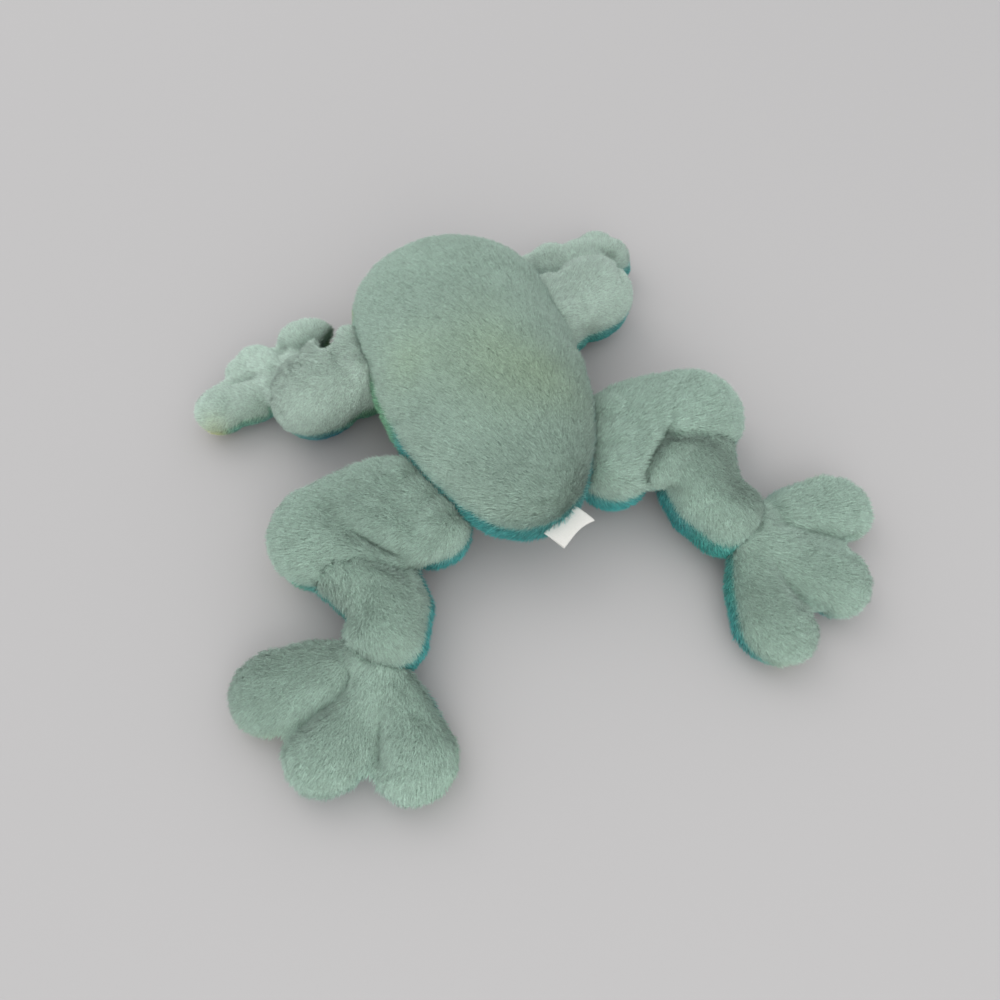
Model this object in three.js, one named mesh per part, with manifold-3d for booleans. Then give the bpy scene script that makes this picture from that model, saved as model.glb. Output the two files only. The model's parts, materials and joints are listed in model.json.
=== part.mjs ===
// A floppy plush frog lying on its back, belly up, its limbs folded as it was put down.
// Millimetres. +X is the frog's own left, +Y points from rump to head, +Z is up, out of the belly.
// Each stuffed form is two sewn fabric panels, a pale one on the belly side and a dyed one on the
// back side, round a filling. A limb bends at its seams and folds, and is cut there into segments:
// the larger segment ends in a ball, and the smaller one is hollowed to turn on it.
import * as THREE from "three";
import { mergeVertices } from "three/addons/utils/BufferGeometryUtils.js";
import Module from "manifold-3d";

const wasm = await Module();
wasm.setup();

// Fabric and clearances
const fabric = 3; // plush fabric, its pile pressed flat
const seamGap = 0.3; // between the two panels along their seam
const fillingEase = 0.6; // between a filling and the fabric round it
const foldGap = 0.5; // between a ball end and the hollow that turns on it
const rootGap = 0.4; // between a limb's sewn root and the body's side seam
const rootThickness = 6; // of a limb where it is sewn to the body
const hem = 8; // depth of doubled fabric at a sewn root
const restFlat = 0.5; // how much of an underside is pressed flat on the floor
const overrun = 20; // how far a cutter passes what it cuts

// Body and head, one bag with a seam all round its side
const bodyWidth = 146;
const sideSeamHeight = 45;
const bellyRise = 45; // belly over the side seam
const headRise = 37; // throat over the side seam
const headLift = 14; // the head's back is held off the floor by its eyes
const rumpLength = 130; // from the widest place back to the rump
const trunkLength = 45;
const headLength = 75;

// Eyes, on the back of the head, facing the floor
const eyeSpacing = 62;
const eyeFromCrown = 35;
const eyeMoundWidth = 40;
const eyeMoundHeight = 44;
const eyeOutward = 30; // degrees from straight ahead
const eyeDownward = 25; // degrees towards the floor
const eyeWidth = 19;
const eyeDome = 7;
const eyeSeatDepth = 2.5; // how far the eye sinks into its mound
const eyeGap = 0.3;
const shankWidth = 4.6;
const shankHole = 5.4;
const shankLength = 10;
const washerWidth = 14;
const washerThickness = 1.6;

// Leg: thigh, calf and a foot of three webbed toes
const hipFromRump = 54; // along the body, to the middle of the hip seam
const hipSeamLength = 72;
const thighLength = 67;
const thighWidth = 82;
const thighHeight = 59;
const kneeWidth = 70; // across the ball that ends the thigh
const kneeHeight = 57;
const calfLength = 76;
const calfRootWidth = 62;
const calfWidth = 54;
const calfHeight = 50;
const ankleWidth = 50;
const ankleBall = 48; // through the ball that ends the calf, sole to top
const toeReach = 74; // ankle to the middle of a toe's round end
const toeWidth = 52;
const toeRootWidth = 38;
const toeHeight = 30;
const toeSpread = 39; // degrees between neighbouring toes

// Arm: upper arm, and a forearm with a hand of three fingers
const shoulderFromCrown = 81;
const shoulderSeamLength = 56;
const upperArmLength = 34;
const elbowWidth = 61; // across the ball that ends the upper arm
const elbowHeight = 60;
const forearmLength = 45;
const wristWidth = 46;
const wristHeight = 44;
const palmWidth = 42;
const palmHeight = 38;
const fingerReach = 43; // palm to the middle of a finger's round end
const fingerWidth = 34;
const fingerHeight = 31;

// Care label, one strip of satin tape folded and caught in the rump seam
const labelWidth = 27;
const labelLength = 15;
const labelDroop = 9;
const labelFromMiddle = 13;
const labelHollow = 1.2; // between its two leaves
const tape = 0.6;

// Room for each limb to swing about its sewn root, in degrees
const limbLift = 45;
const limbDrop = 10;
const swingMargin = 3;

// Shares of the sizes that they follow
const thighRiseShares = [0, 0.85, 1, 1]; // from the side seam's height to the thigh's
const undersideShares = [1, 0.24, 0, 0]; // of a limb's underside, from its root out
const toeWidthShares = [0, 0.3, 0.85, 1]; // from the toe root's width to the toe's
const coreShare = 0.6; // of a ball's radius, where its hollow is left open
const leastShare = 0.2; // of a size that is too small for its whole inset
const seamShare = 0.5; // of a segment's height, where its seam runs

// Facets
const bodySides = 24;
const limbSides = 16;
const fingerSides = 10;
const limbSteps = 5;
const fingerSteps = 3;
const bodyRoundSteps = 6;
const limbRoundSteps = 3;
const fingerRoundSteps = 2;
const hiddenSides = 6; // of linings and fillings
const hiddenSteps = 3;
const hiddenRoundSteps = 1;
const ballSegments = 18;
const ballSteps = 3;
const eyeSides = 14;
const moundRings = 7;

// How each limb was left lying: level headings in degrees, 0 to the frog's left, 90 to its head
const poses = {
  right: {
    side: -1,
    thigh: 181,
    calfRoot: -62,
    calf: -76,
    foot: 225,
    upperArm: 196,
    forearm: 127,
    fingers: [
      { heading: 32, reachShare: 0.84 },
      { heading: 156, reachShare: 0.42 },
      { heading: 202, reachShare: 1.06 },
    ],
  },
  left: {
    side: 1,
    thigh: 1,
    calfRoot: -114,
    calf: -97,
    foot: -52,
    upperArm: 10,
    forearm: 75,
    fingers: [
      { heading: 168, reachShare: 0.92 },
      { heading: 38, reachShare: 0.45 },
      { heading: -9, reachShare: 0.5 },
    ],
  },
};

const palePlush = { color: 0xa9cdbd, roughness: 0.95, metalness: 0 };
const dyedPlush = { color: 0x2f9aa6, roughness: 0.95, metalness: 0 };
const fibre = { color: 0xf1efe8, roughness: 1, metalness: 0 };
const eyePlastic = { color: 0x16120e, roughness: 0.12, metalness: 0 };
const washerPlastic = { color: 0xe6e4dc, roughness: 0.5, metalness: 0 };
const satinTape = { color: 0xeeece4, roughness: 0.6, metalness: 0 };

// Directions and values along a path

const up = new THREE.Vector3(0, 0, 1);

function headingVector(degrees) {
  const angle = THREE.MathUtils.degToRad(degrees);
  return new THREE.Vector3(Math.cos(angle), Math.sin(angle), 0);
}

function stepFrom(point, heading, distance, height) {
  return point.clone().addScaledVector(headingVector(heading), distance).setZ(height);
}

function blend(from, to, shares) {
  return shares.map((share) => from + (to - from) * share);
}

function valueAt(values, share) {
  const points = values.map((value, step) => new THREE.Vector2(step, value));
  return new THREE.SplineCurve(points).getPoint(share).y;
}

// Solids and meshes

function solid(geometry) {
  const bare = geometry.clone();
  for (const name of ["normal", "uv"]) bare.deleteAttribute(name);
  const merged = mergeVertices(bare);
  return new wasm.Manifold(new wasm.Mesh({
    numProp: 3,
    vertProperties: new Float32Array(merged.attributes.position.array),
    triVerts: new Uint32Array(merged.index.array),
  }));
}

function meshOf(name, shape, finish, pivot) {
  const { vertProperties, triVerts } = shape.getMesh();
  const geometry = new THREE.BufferGeometry();
  geometry.setAttribute("position", new THREE.BufferAttribute(vertProperties, 3));
  geometry.setIndex(new THREE.BufferAttribute(triVerts, 1));
  geometry.translate(-pivot.x, -pivot.y, -pivot.z);
  geometry.computeVertexNormals();
  const mesh = new THREE.Mesh(geometry, new THREE.MeshStandardMaterial(finish));
  mesh.name = name;
  return mesh;
}

function unite(shapes) {
  return shapes.reduce((all, next) => all.add(next));
}

function keepBeyond(shape, normal, point, clearance = 0) {
  return shape.trimByPlane(normal.toArray(), normal.dot(point) + clearance);
}

// The closed skin over a run of rings of points, with a pole past each end.
function skin(rings, startPole, endPole) {
  const sides = rings[0].length;
  const points = [...rings.flat(), startPole, endPole];
  const faces = [];
  for (let side = 0; side < sides; side += 1) {
    const next = (side + 1) % sides;
    rings.slice(1).forEach((_, ring) => {
      const low = ring * sides;
      const high = low + sides;
      faces.push(low + side, high + side, high + next, low + side, high + next, low + next);
    });
    const last = (rings.length - 1) * sides;
    faces.push(points.length - 2, side, next, points.length - 1, last + next, last + side);
  }
  const geometry = new THREE.BufferGeometry().setFromPoints(points);
  geometry.setIndex(faces);
  return solid(geometry);
}

// A stuffed bag: upright sections along a path, each widest at the seam, which the path follows.
// Widths, tops and undersides are given at even steps along it. An end is sewn flat, or is rounded
// over a given length. An inset shrinks the bag all round, for its lining and for its filling.
function bag(form, inset = 0) {
  const { start, end, startRound = 0, endRound = 0 } = form;
  const hidden = inset > 0;
  const sides = hidden ? hiddenSides : form.sides;
  const steps = hidden ? Math.min(hiddenSteps, form.steps) : form.steps;
  const capSteps = hidden ? hiddenRoundSteps : form.capSteps;
  const startWay = headingVector(form.startHeading);
  const endWay = headingVector(form.endHeading);
  const length = start.distanceTo(end);
  const path = new THREE.CubicBezierCurve3(
    start,
    start.clone().addScaledVector(startWay, length / 3),
    end.clone().addScaledVector(endWay, -length / 3),
    end,
  );
  const shrink = (size) => Math.max(size - inset, size * leastShare);
  const ringAt = (share, way, beyond = 0, swell = 1) => {
    const middle = path.getPoint(share);
    const half = shrink(valueAt(form.widths, share) / 2) * swell;
    const rise = shrink(valueAt(form.tops, share) - middle.z) * swell;
    const sink = shrink(middle.z - valueAt(form.undersides, share)) * swell;
    middle.addScaledVector(way, beyond);
    return Array.from({ length: sides }, (_, side) => {
      const angle = 2 * Math.PI * side / sides;
      const across = new THREE.Vector3(way.y, -way.x, 0).multiplyScalar(half * Math.cos(angle));
      const height = Math.sin(angle) * (Math.sin(angle) > 0 ? rise : sink);
      return middle.clone().add(across).addScaledVector(up, height);
    });
  };
  const roundRings = (share, way, round) => (
    Array.from({ length: capSteps }, (_, step) => {
      const angle = Math.PI / 2 * (step + 1) / (capSteps + 1);
      return ringAt(share, way, round * Math.sin(angle), Math.cos(angle));
    })
  );
  const startEase = hidden && !startRound ? hem / length : 0;
  const pathRings = Array.from({ length: steps + 1 }, (_, step) => {
    const share = startEase + (1 - startEase) * step / steps;
    return ringAt(share, path.getTangent(share).setZ(0).normalize());
  });
  const startCap = startRound && startRound - inset;
  const endCap = endRound && endRound - inset;
  const rings = [
    ...(startRound ? roundRings(0, startWay, -startCap).reverse() : []),
    ...pathRings,
    ...(endRound ? roundRings(1, endWay, endCap) : []),
  ];
  const startPole = path.getPoint(startEase).addScaledVector(startWay, -startCap);
  const endPole = end.clone().addScaledVector(endWay, endCap);
  return skin(rings, startPole, endPole);
}

// The cutter for a hollow that turns on a ball: the ball and its core, turned about an axis.
function ballCutter({ centre, axis, radius, above, below }, clearance) {
  const grown = (radius + clearance) / Math.cos(Math.PI / ballSegments);
  const core = grown * coreShare;
  const coreAngle = Math.acos(coreShare);
  const arc = Array.from({ length: 2 * ballSteps + 1 }, (_, step) => {
    const angle = coreAngle * (step / ballSteps - 1);
    const reach = Math.sin(angle) * ((angle > 0 ? above : below) + clearance);
    return new THREE.Vector2(grown * Math.cos(angle), reach);
  });
  const profile = [
    new THREE.Vector2(0, -below - overrun),
    new THREE.Vector2(core, -below - overrun),
    ...arc,
    new THREE.Vector2(core, above + overrun),
    new THREE.Vector2(0, above + overrun),
  ];
  const lathe = new THREE.LatheGeometry(profile, ballSegments);
  lathe.applyQuaternion(new THREE.Quaternion().setFromUnitVectors(up.clone().set(0, 1, 0), axis));
  lathe.translate(...centre.toArray());
  return solid(lathe);
}

// A stuffed segment: two panels that meet along its seam plane, round a filling.
function stuffed(name, segment, pivot) {
  const shapeAt = (inset) => {
    const whole = unite(segment.forms.map((form) => bag(form, inset)));
    return segment.cut(keepBeyond(whole, up, new THREE.Vector3(), inset), inset);
  };
  const shell = shapeAt(0).subtract(shapeAt(fabric));
  const { seamStart, seamEnd } = segment;
  const along = seamEnd.clone().sub(seamStart);
  const across = new THREE.Vector3(along.y, -along.x, 0);
  const normal = across.cross(along).normalize();
  const opposite = normal.clone().negate();
  return [
    meshOf(`${name}_belly_panel`, keepBeyond(shell, normal, seamStart, seamGap / 2), palePlush, pivot),
    meshOf(`${name}_back_panel`, keepBeyond(shell, opposite, seamStart, seamGap / 2), dyedPlush, pivot),
    meshOf(`${name}_filling`, shapeAt(fabric + fillingEase), fibre, pivot),
  ];
}

// Body

const bodyForm = {
  start: new THREE.Vector3(0, 0, sideSeamHeight),
  end: new THREE.Vector3(0, trunkLength, sideSeamHeight),
  startHeading: 90,
  endHeading: 90,
  startRound: rumpLength,
  endRound: headLength,
  sides: bodySides,
  steps: 1,
  capSteps: bodyRoundSteps,
  widths: [bodyWidth, bodyWidth],
  tops: [sideSeamHeight + bellyRise, sideSeamHeight + headRise],
  undersides: [-restFlat, headLift],
};

// The body's side seam, a half ellipse round the rump and another round the crown.
function sideSeamAt(y) {
  const beyond = y < 0 ? y : Math.max(y - trunkLength, 0);
  const round = y < 0 ? rumpLength : headLength;
  const narrowing = Math.sqrt(1 - (beyond / round) ** 2);
  const half = bodyWidth / 2 * narrowing;
  const slope = bodyWidth / 2 * -beyond / round ** 2 / narrowing;
  return { half, turn: THREE.MathUtils.radToDeg(Math.atan(slope)) };
}

// Where a limb is sewn on: the middle of its root, and the way out of the body there.
function rootAt(y, side) {
  const { half, turn } = sideSeamAt(y);
  const heading = side > 0 ? -turn : 180 + turn;
  const seam = new THREE.Vector3(side * half, y, sideSeamHeight);
  return { heading, hinge: stepFrom(seam, heading, rootGap, sideSeamHeight) };
}

// A limb's root is pinched between two planes through its hinge line, so that it can swing.
function pinchRoot(shape, { heading, hinge }, inset) {
  const outward = headingVector(heading);
  const across = new THREE.Vector3(outward.y, -outward.x, 0);
  const liftRoom = THREE.MathUtils.degToRad(limbLift + swingMargin);
  const dropRoom = THREE.MathUtils.degToRad(limbDrop + swingMargin);
  const underLift = outward.clone().applyAxisAngle(across, -liftRoom);
  const overDrop = outward.clone().applyAxisAngle(across, dropRoom);
  const upper = keepBeyond(shape, underLift, hinge, inset);
  return keepBeyond(upper, overDrop, hinge, inset);
}

function limbUndersides(shares) {
  return blend(-restFlat, sideSeamHeight - rootThickness / 2, shares);
}

function limbTops(height, shares) {
  return blend(sideSeamHeight + rootThickness / 2, height, shares);
}

// Legs

function makeLeg(sideName) {
  const pose = poses[sideName];
  const root = rootAt(hipFromRump - rumpLength, pose.side);
  const kneeSeam = kneeHeight * seamShare;
  const ankleSeam = ankleBall / 2 - restFlat;
  const toeSeam = toeHeight * seamShare;
  const start = stepFrom(root.hinge, root.heading, rootGap, sideSeamHeight);
  const knee = stepFrom(start, pose.thigh, thighLength, kneeSeam);
  const ankle = stepFrom(knee, pose.calf, calfLength, ankleSeam);
  const thigh = {
    seamStart: start,
    seamEnd: knee,
    forms: [{
      start,
      end: knee,
      startHeading: root.heading,
      endHeading: pose.thigh,
      endRound: kneeWidth / 2,
      sides: limbSides,
      steps: limbSteps,
      capSteps: limbRoundSteps,
      widths: [hipSeamLength, thighWidth, thighWidth, kneeWidth],
      tops: limbTops(thighHeight, thighRiseShares).with(-1, kneeHeight),
      undersides: limbUndersides(undersideShares),
    }],
    cut: (shape, inset) => pinchRoot(shape, root, inset),
  };
  const kneeBall = {
    centre: knee,
    axis: up,
    radius: kneeWidth / 2,
    above: kneeHeight - kneeSeam,
    below: kneeSeam + restFlat,
  };
  const calf = {
    seamStart: knee,
    seamEnd: ankle,
    forms: [{
      start: knee,
      end: ankle,
      startHeading: pose.calfRoot,
      endHeading: pose.foot,
      endRound: ankleBall / 2,
      sides: limbSides,
      steps: limbSteps,
      capSteps: limbRoundSteps,
      widths: [calfRootWidth, calfWidth, ankleWidth],
      tops: [calfHeight, calfHeight, ankleSeam + ankleBall / 2],
      undersides: [-restFlat, -restFlat],
    }],
    cut: (shape, inset) => shape
      .subtract(ballCutter(kneeBall, foldGap + inset))
      .subtract(bag(thigh.forms[0], -foldGap - inset)),
  };
  const ankleHinge = {
    centre: ankle,
    axis: headingVector(pose.foot + 90),
    radius: ankleBall / 2,
    above: ankleWidth / 2,
    below: ankleWidth / 2,
  };
  const toeStart = stepFrom(ankle, pose.foot, ankleBall / 2 * coreShare, ankleSeam);
  const foot = {
    seamStart: toeStart,
    seamEnd: stepFrom(ankle, pose.foot, toeReach, toeSeam),
    forms: [-toeSpread, 0, toeSpread].map((spread) => ({
      start: toeStart,
      end: stepFrom(ankle, pose.foot + spread, toeReach, toeSeam),
      startHeading: pose.foot,
      endHeading: pose.foot + spread,
      endRound: toeWidth / 2,
      sides: fingerSides,
      steps: fingerSteps,
      capSteps: fingerRoundSteps,
      widths: blend(toeRootWidth, toeWidth, toeWidthShares),
      tops: [ankleBall / 2 + toeSeam, toeHeight, toeHeight],
      undersides: [-restFlat, -restFlat],
    })),
    cut: (shape, inset) => shape.subtract(ballCutter(ankleHinge, foldGap + inset)),
  };
  return chain([
    { name: `${sideName}_thigh`, joint: `${sideName}_hip`, pivot: root.hinge, segment: thigh },
    { name: `${sideName}_calf`, joint: `${sideName}_knee`, pivot: knee, segment: calf },
    { name: `${sideName}_foot`, joint: `${sideName}_ankle`, pivot: ankle, segment: foot },
  ]);
}

// Arms

function makeArm(sideName) {
  const pose = poses[sideName];
  const root = rootAt(trunkLength + headLength - shoulderFromCrown, pose.side);
  const elbowSeam = elbowHeight * seamShare;
  const palmSeam = palmHeight * seamShare;
  const fingerSeam = fingerHeight * seamShare;
  const start = stepFrom(root.hinge, root.heading, rootGap, sideSeamHeight);
  const elbow = stepFrom(start, pose.upperArm, upperArmLength, elbowSeam);
  const palm = stepFrom(elbow, pose.forearm, forearmLength, palmSeam);
  const upperArm = {
    seamStart: start,
    seamEnd: elbow,
    forms: [{
      start,
      end: elbow,
      startHeading: root.heading,
      endHeading: pose.upperArm,
      endRound: elbowWidth / 2,
      sides: limbSides,
      steps: limbSteps,
      capSteps: limbRoundSteps,
      widths: [shoulderSeamLength, elbowWidth, elbowWidth],
      tops: limbTops(elbowHeight, thighRiseShares),
      undersides: limbUndersides(undersideShares),
    }],
    cut: (shape, inset) => pinchRoot(shape, root, inset),
  };
  const elbowBall = {
    centre: elbow,
    axis: up,
    radius: elbowWidth / 2,
    above: elbowHeight - elbowSeam,
    below: elbowSeam + restFlat,
  };
  const wrist = {
    start: elbow,
    end: palm,
    startHeading: pose.forearm,
    endHeading: pose.forearm,
    endRound: palmWidth / 2,
    sides: fingerSides,
    steps: fingerSteps,
    capSteps: fingerRoundSteps,
    widths: [wristWidth, palmWidth],
    tops: [wristHeight, palmHeight],
    undersides: [-restFlat, -restFlat],
  };
  const fingers = pose.fingers.map(({ heading, reachShare }) => ({
    start: palm,
    end: stepFrom(palm, heading, fingerReach * reachShare, fingerSeam),
    startHeading: heading,
    endHeading: heading,
    endRound: fingerWidth / 2,
    sides: fingerSides,
    steps: 1,
    capSteps: fingerRoundSteps,
    widths: [fingerWidth, fingerWidth],
    tops: [fingerHeight, fingerHeight],
    undersides: [-restFlat, -restFlat],
  }));
  const hand = {
    seamStart: elbow,
    seamEnd: palm,
    forms: [wrist, ...fingers],
    cut: (shape, inset) => shape
      .subtract(ballCutter(elbowBall, foldGap + inset))
      .subtract(bag(upperArm.forms[0], -foldGap - inset)),
  };
  return chain([
    { name: `${sideName}_upper_arm`, joint: `${sideName}_shoulder`, pivot: root.hinge, segment: upperArm },
    { name: `${sideName}_hand`, joint: `${sideName}_elbow`, pivot: elbow, segment: hand },
  ]);
}

// Each segment hangs in a group of its own at its hinge, inside the one that carries it.
function chain(links) {
  let carrierPivot = new THREE.Vector3();
  let carrier = null;
  let first = null;
  for (const { name, joint, pivot, segment } of links) {
    const hinge = new THREE.Group();
    hinge.name = joint;
    hinge.position.copy(pivot).sub(carrierPivot);
    hinge.add(...stuffed(name, segment, pivot));
    if (carrier) carrier.add(hinge);
    else first = hinge;
    carrier = hinge;
    carrierPivot = pivot;
  }
  return first;
}

// Eyes: a plush mound sewn on the head, and a plastic eye whose shank a washer holds inside it

function makeEye(sideName) {
  const { side } = poses[sideName];
  const origin = new THREE.Vector3();
  const middle = new THREE.Vector3(
    side * eyeSpacing / 2,
    trunkLength + headLength - eyeFromCrown,
    eyeMoundHeight / 2 - restFlat,
  );
  const way = headingVector(90 - side * eyeOutward);
  const sidewise = new THREE.Vector3(way.y, -way.x, 0);
  way.applyAxisAngle(sidewise, -THREE.MathUtils.degToRad(eyeDownward));
  const moundAt = (inset) => {
    const mound = new THREE.SphereGeometry(1, eyeSides, moundRings);
    const half = eyeMoundWidth / 2 - inset;
    mound.rotateX(Math.PI / 2);
    mound.scale(half, half, eyeMoundHeight / 2 - inset);
    mound.translate(...middle.toArray());
    const bare = keepBeyond(solid(mound), up, origin, inset);
    return bare.subtract(bag(bodyForm, -seamGap - inset));
  };
  const turned = (profile) => {
    const points = profile.map(([radius, reach]) => new THREE.Vector2(radius, reach));
    const lathe = new THREE.LatheGeometry(points, eyeSides);
    lathe.applyQuaternion(new THREE.Quaternion().setFromUnitVectors(new THREE.Vector3(0, 1, 0), way));
    lathe.translate(...middle.toArray());
    return solid(lathe);
  };
  const mouth = eyeMoundWidth / 2;
  const seat = mouth - eyeSeatDepth;
  const shankEnd = seat - shankLength;
  const disc = (radius, from, to) => turned([[0, from], [radius, from], [radius, to], [0, to]]);
  const domeArc = [1, 0.92, 0.7, 0.38, 0].map((share) => (
    [eyeWidth / 2 * share, seat + eyeGap + eyeDome * Math.sqrt(1 - share ** 2)]
  ));
  const eye = turned([
    [0, shankEnd],
    [shankWidth / 2, shankEnd],
    [shankWidth / 2, seat + eyeGap],
    [eyeWidth / 2, seat + eyeGap],
    ...domeArc.slice(1),
  ]);
  const seatCut = disc(eyeWidth / 2 + eyeGap, seat, mouth + overrun);
  const shankCut = disc(shankHole / 2, shankEnd - fillingEase, mouth);
  const washerTop = seat - fabric - eyeGap;
  const washerBody = disc(washerWidth / 2, washerTop - washerThickness, washerTop);
  const washer = washerBody.subtract(disc(shankHole / 2, shankEnd - overrun, mouth));
  const washerRoom = disc(washerWidth / 2 + fillingEase, shankEnd - fillingEase, mouth);
  const inside = moundAt(fabric).subtract(disc(washerWidth / 2 + fabric, seat - fabric, mouth));
  const mound = moundAt(0).subtract(inside).subtract(seatCut).subtract(shankCut);
  const wallRoom = disc(washerWidth / 2 + fabric + fillingEase, seat - fabric - fillingEase, mouth);
  const filling = moundAt(fabric + fillingEase).subtract(washerRoom).subtract(wallRoom);
  return [
    meshOf(`${sideName}_eye_mound`, mound, dyedPlush, origin),
    meshOf(`${sideName}_eye_mound_filling`, filling, fibre, origin),
    meshOf(`${sideName}_eye`, eye, eyePlastic, origin),
    meshOf(`${sideName}_eye_washer`, washer, washerPlastic, origin),
  ];
}

// Care label: two leaves that part at the seam and join at their outer fold

function makeLabel() {
  const narrowing = Math.sqrt(1 - (labelFromMiddle / (bodyWidth / 2)) ** 2);
  const y = -rumpLength * narrowing;
  const { heading } = rootAt(y, 1);
  const leafSteps = 6;
  const edge = (offset, reach) => Array.from({ length: leafSteps + 1 }, (_, step) => {
    const along = reach * step / leafSteps;
    return new THREE.Vector2(along, offset - labelDroop * (along / labelLength) ** 2);
  });
  const outside = labelHollow / 2 + tape;
  const inside = labelHollow / 2;
  const outline = new THREE.Shape([
    ...edge(outside, labelLength),
    ...edge(-outside, labelLength).reverse(),
    ...edge(-inside, labelLength - tape),
    ...edge(inside, labelLength - tape).reverse(),
  ]);
  const strip = new THREE.ExtrudeGeometry(outline, { depth: labelWidth, bevelEnabled: false });
  strip.rotateX(Math.PI / 2);
  strip.translate(rootGap * 2, labelWidth / 2, 0);
  strip.rotateZ(THREE.MathUtils.degToRad(heading));
  strip.translate(labelFromMiddle, y, sideSeamHeight);
  return meshOf("care_label", solid(strip), satinTape, new THREE.Vector3());
}

// The frog, its origin on the floor under the middle of its box

const torso = {
  seamStart: bodyForm.start,
  seamEnd: bodyForm.end,
  forms: [bodyForm],
  cut: (shape) => shape,
};
const frog = new THREE.Group();
frog.add(...stuffed("body", torso, new THREE.Vector3()));
for (const sideName of Object.keys(poses)) {
  frog.add(...makeEye(sideName), makeArm(sideName), makeLeg(sideName));
}
frog.add(makeLabel());
const middle = new THREE.Box3().setFromObject(frog, true).getCenter(new THREE.Vector3());
frog.position.set(-middle.x, -middle.y, 0);

export default frog;
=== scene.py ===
import json
import math

import bmesh
import bpy
import numpy as np
from mathutils import Matrix, Vector, noise
from mathutils.bvhtree import BVHTree
from mathutils.kdtree import KDTree

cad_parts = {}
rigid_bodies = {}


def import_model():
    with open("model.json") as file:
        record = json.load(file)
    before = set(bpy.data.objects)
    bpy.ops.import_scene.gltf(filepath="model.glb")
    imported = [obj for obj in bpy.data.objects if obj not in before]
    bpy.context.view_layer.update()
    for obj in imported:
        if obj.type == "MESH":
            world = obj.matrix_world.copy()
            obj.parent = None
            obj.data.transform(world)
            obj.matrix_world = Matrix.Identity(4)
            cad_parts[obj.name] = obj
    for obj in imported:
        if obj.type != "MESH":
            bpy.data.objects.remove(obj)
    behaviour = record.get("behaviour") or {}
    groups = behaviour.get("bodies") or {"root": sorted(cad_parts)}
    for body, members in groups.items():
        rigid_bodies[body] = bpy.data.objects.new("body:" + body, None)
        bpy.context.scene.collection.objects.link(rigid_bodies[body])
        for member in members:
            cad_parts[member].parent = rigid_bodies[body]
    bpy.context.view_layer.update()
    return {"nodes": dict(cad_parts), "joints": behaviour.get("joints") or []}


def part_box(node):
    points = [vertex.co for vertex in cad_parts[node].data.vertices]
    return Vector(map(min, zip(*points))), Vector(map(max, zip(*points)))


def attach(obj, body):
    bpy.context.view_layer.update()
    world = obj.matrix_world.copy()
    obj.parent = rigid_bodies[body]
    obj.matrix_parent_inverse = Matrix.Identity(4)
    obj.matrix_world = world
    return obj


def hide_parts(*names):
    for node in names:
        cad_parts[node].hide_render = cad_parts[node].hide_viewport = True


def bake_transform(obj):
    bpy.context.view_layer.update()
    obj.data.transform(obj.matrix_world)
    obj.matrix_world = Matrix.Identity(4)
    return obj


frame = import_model()
scene = bpy.context.scene
nodes = frame["nodes"]
joints = {joint["name"]: joint for joint in frame["joints"]}

# Camera, floor and light

view = {
    "lens": 28.8,  # on a 36 mm sensor
    "lookAt": (-0.01345, -0.01055, 0.0),
    "azimuth": -20,
    "elevation": 62,
    "distance": 0.55,
}
studio = {
    "floorSize": 8.0,
    "floorColour": (0.48, 0.47, 0.466),
    "worldColour": (0.97, 0.98, 1.0),
    "worldStrength": 1.0,
    "windowPlace": (-0.7, 1.6, 1.9),  # beyond the head, to the left of the view
    "windowSize": 1.6,
    "windowPower": 9.0,
    "windowColour": (1.0, 0.985, 0.96),
    "fillPlace": (-0.3, -1.7, 0.9),  # from the camera's side, so that nothing falls into deep shade
    "fillSize": 1.5,
    "fillPower": 11.0,
}


def viewBack():
    azimuth, elevation = math.radians(view["azimuth"]), math.radians(view["elevation"])
    return Vector((
        math.sin(azimuth) * math.cos(elevation),
        -math.cos(azimuth) * math.cos(elevation),
        math.sin(elevation),
    ))


def seenOn(solid, across, down):
    # where the view through this point of its frame of 1000 by 1000 meets a form
    turn = (-viewBack()).to_track_quat("-Z", "Y")
    start = Vector(view["lookAt"]) + viewBack() * view["distance"]
    reach = 0.036 / view["lens"]
    way = turn @ Vector(((across / 1000 - 0.5) * reach * 1000, (0.5 - down / 1000) * reach * 1000, -1))
    return solid.ray_cast(start, way.normalized())[0]


# Node building

def addNode(tree, kind, inputs=None, **settings):
    made = tree.nodes.new(kind)
    for name, value in settings.items():
        setattr(made, name, value)
    for name, value in (inputs or {}).items():
        if isinstance(value, bpy.types.NodeSocket):
            tree.links.new(value, made.inputs[name])
        else:
            made.inputs[name].default_value = value
    return made


def setInputs(node, **values):
    for name, value in values.items():
        node.inputs[name.replace("_", " ")].default_value = value


def newMaterial(name):
    material = bpy.data.materials.new(name)
    material.use_nodes = True
    return material, material.node_tree, material.node_tree.nodes["Principled BSDF"]


def addMath(tree, operation, *values):
    return addNode(tree, "ShaderNodeMath", dict(enumerate(values)), operation=operation).outputs[0]


def addStore(tree, geometry, name, value, kind="FLOAT_VECTOR", domain="POINT"):
    return addNode(tree, "GeometryNodeStoreNamedAttribute", {
        "Geometry": geometry, "Name": name, "Value": value}, data_type=kind, domain=domain).outputs[0]


def addSockets(tree, direction, sockets):
    for name, kind in sockets.items():
        tree.interface.new_socket(name, in_out=direction, socket_type=f"NodeSocket{kind}")


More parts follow.
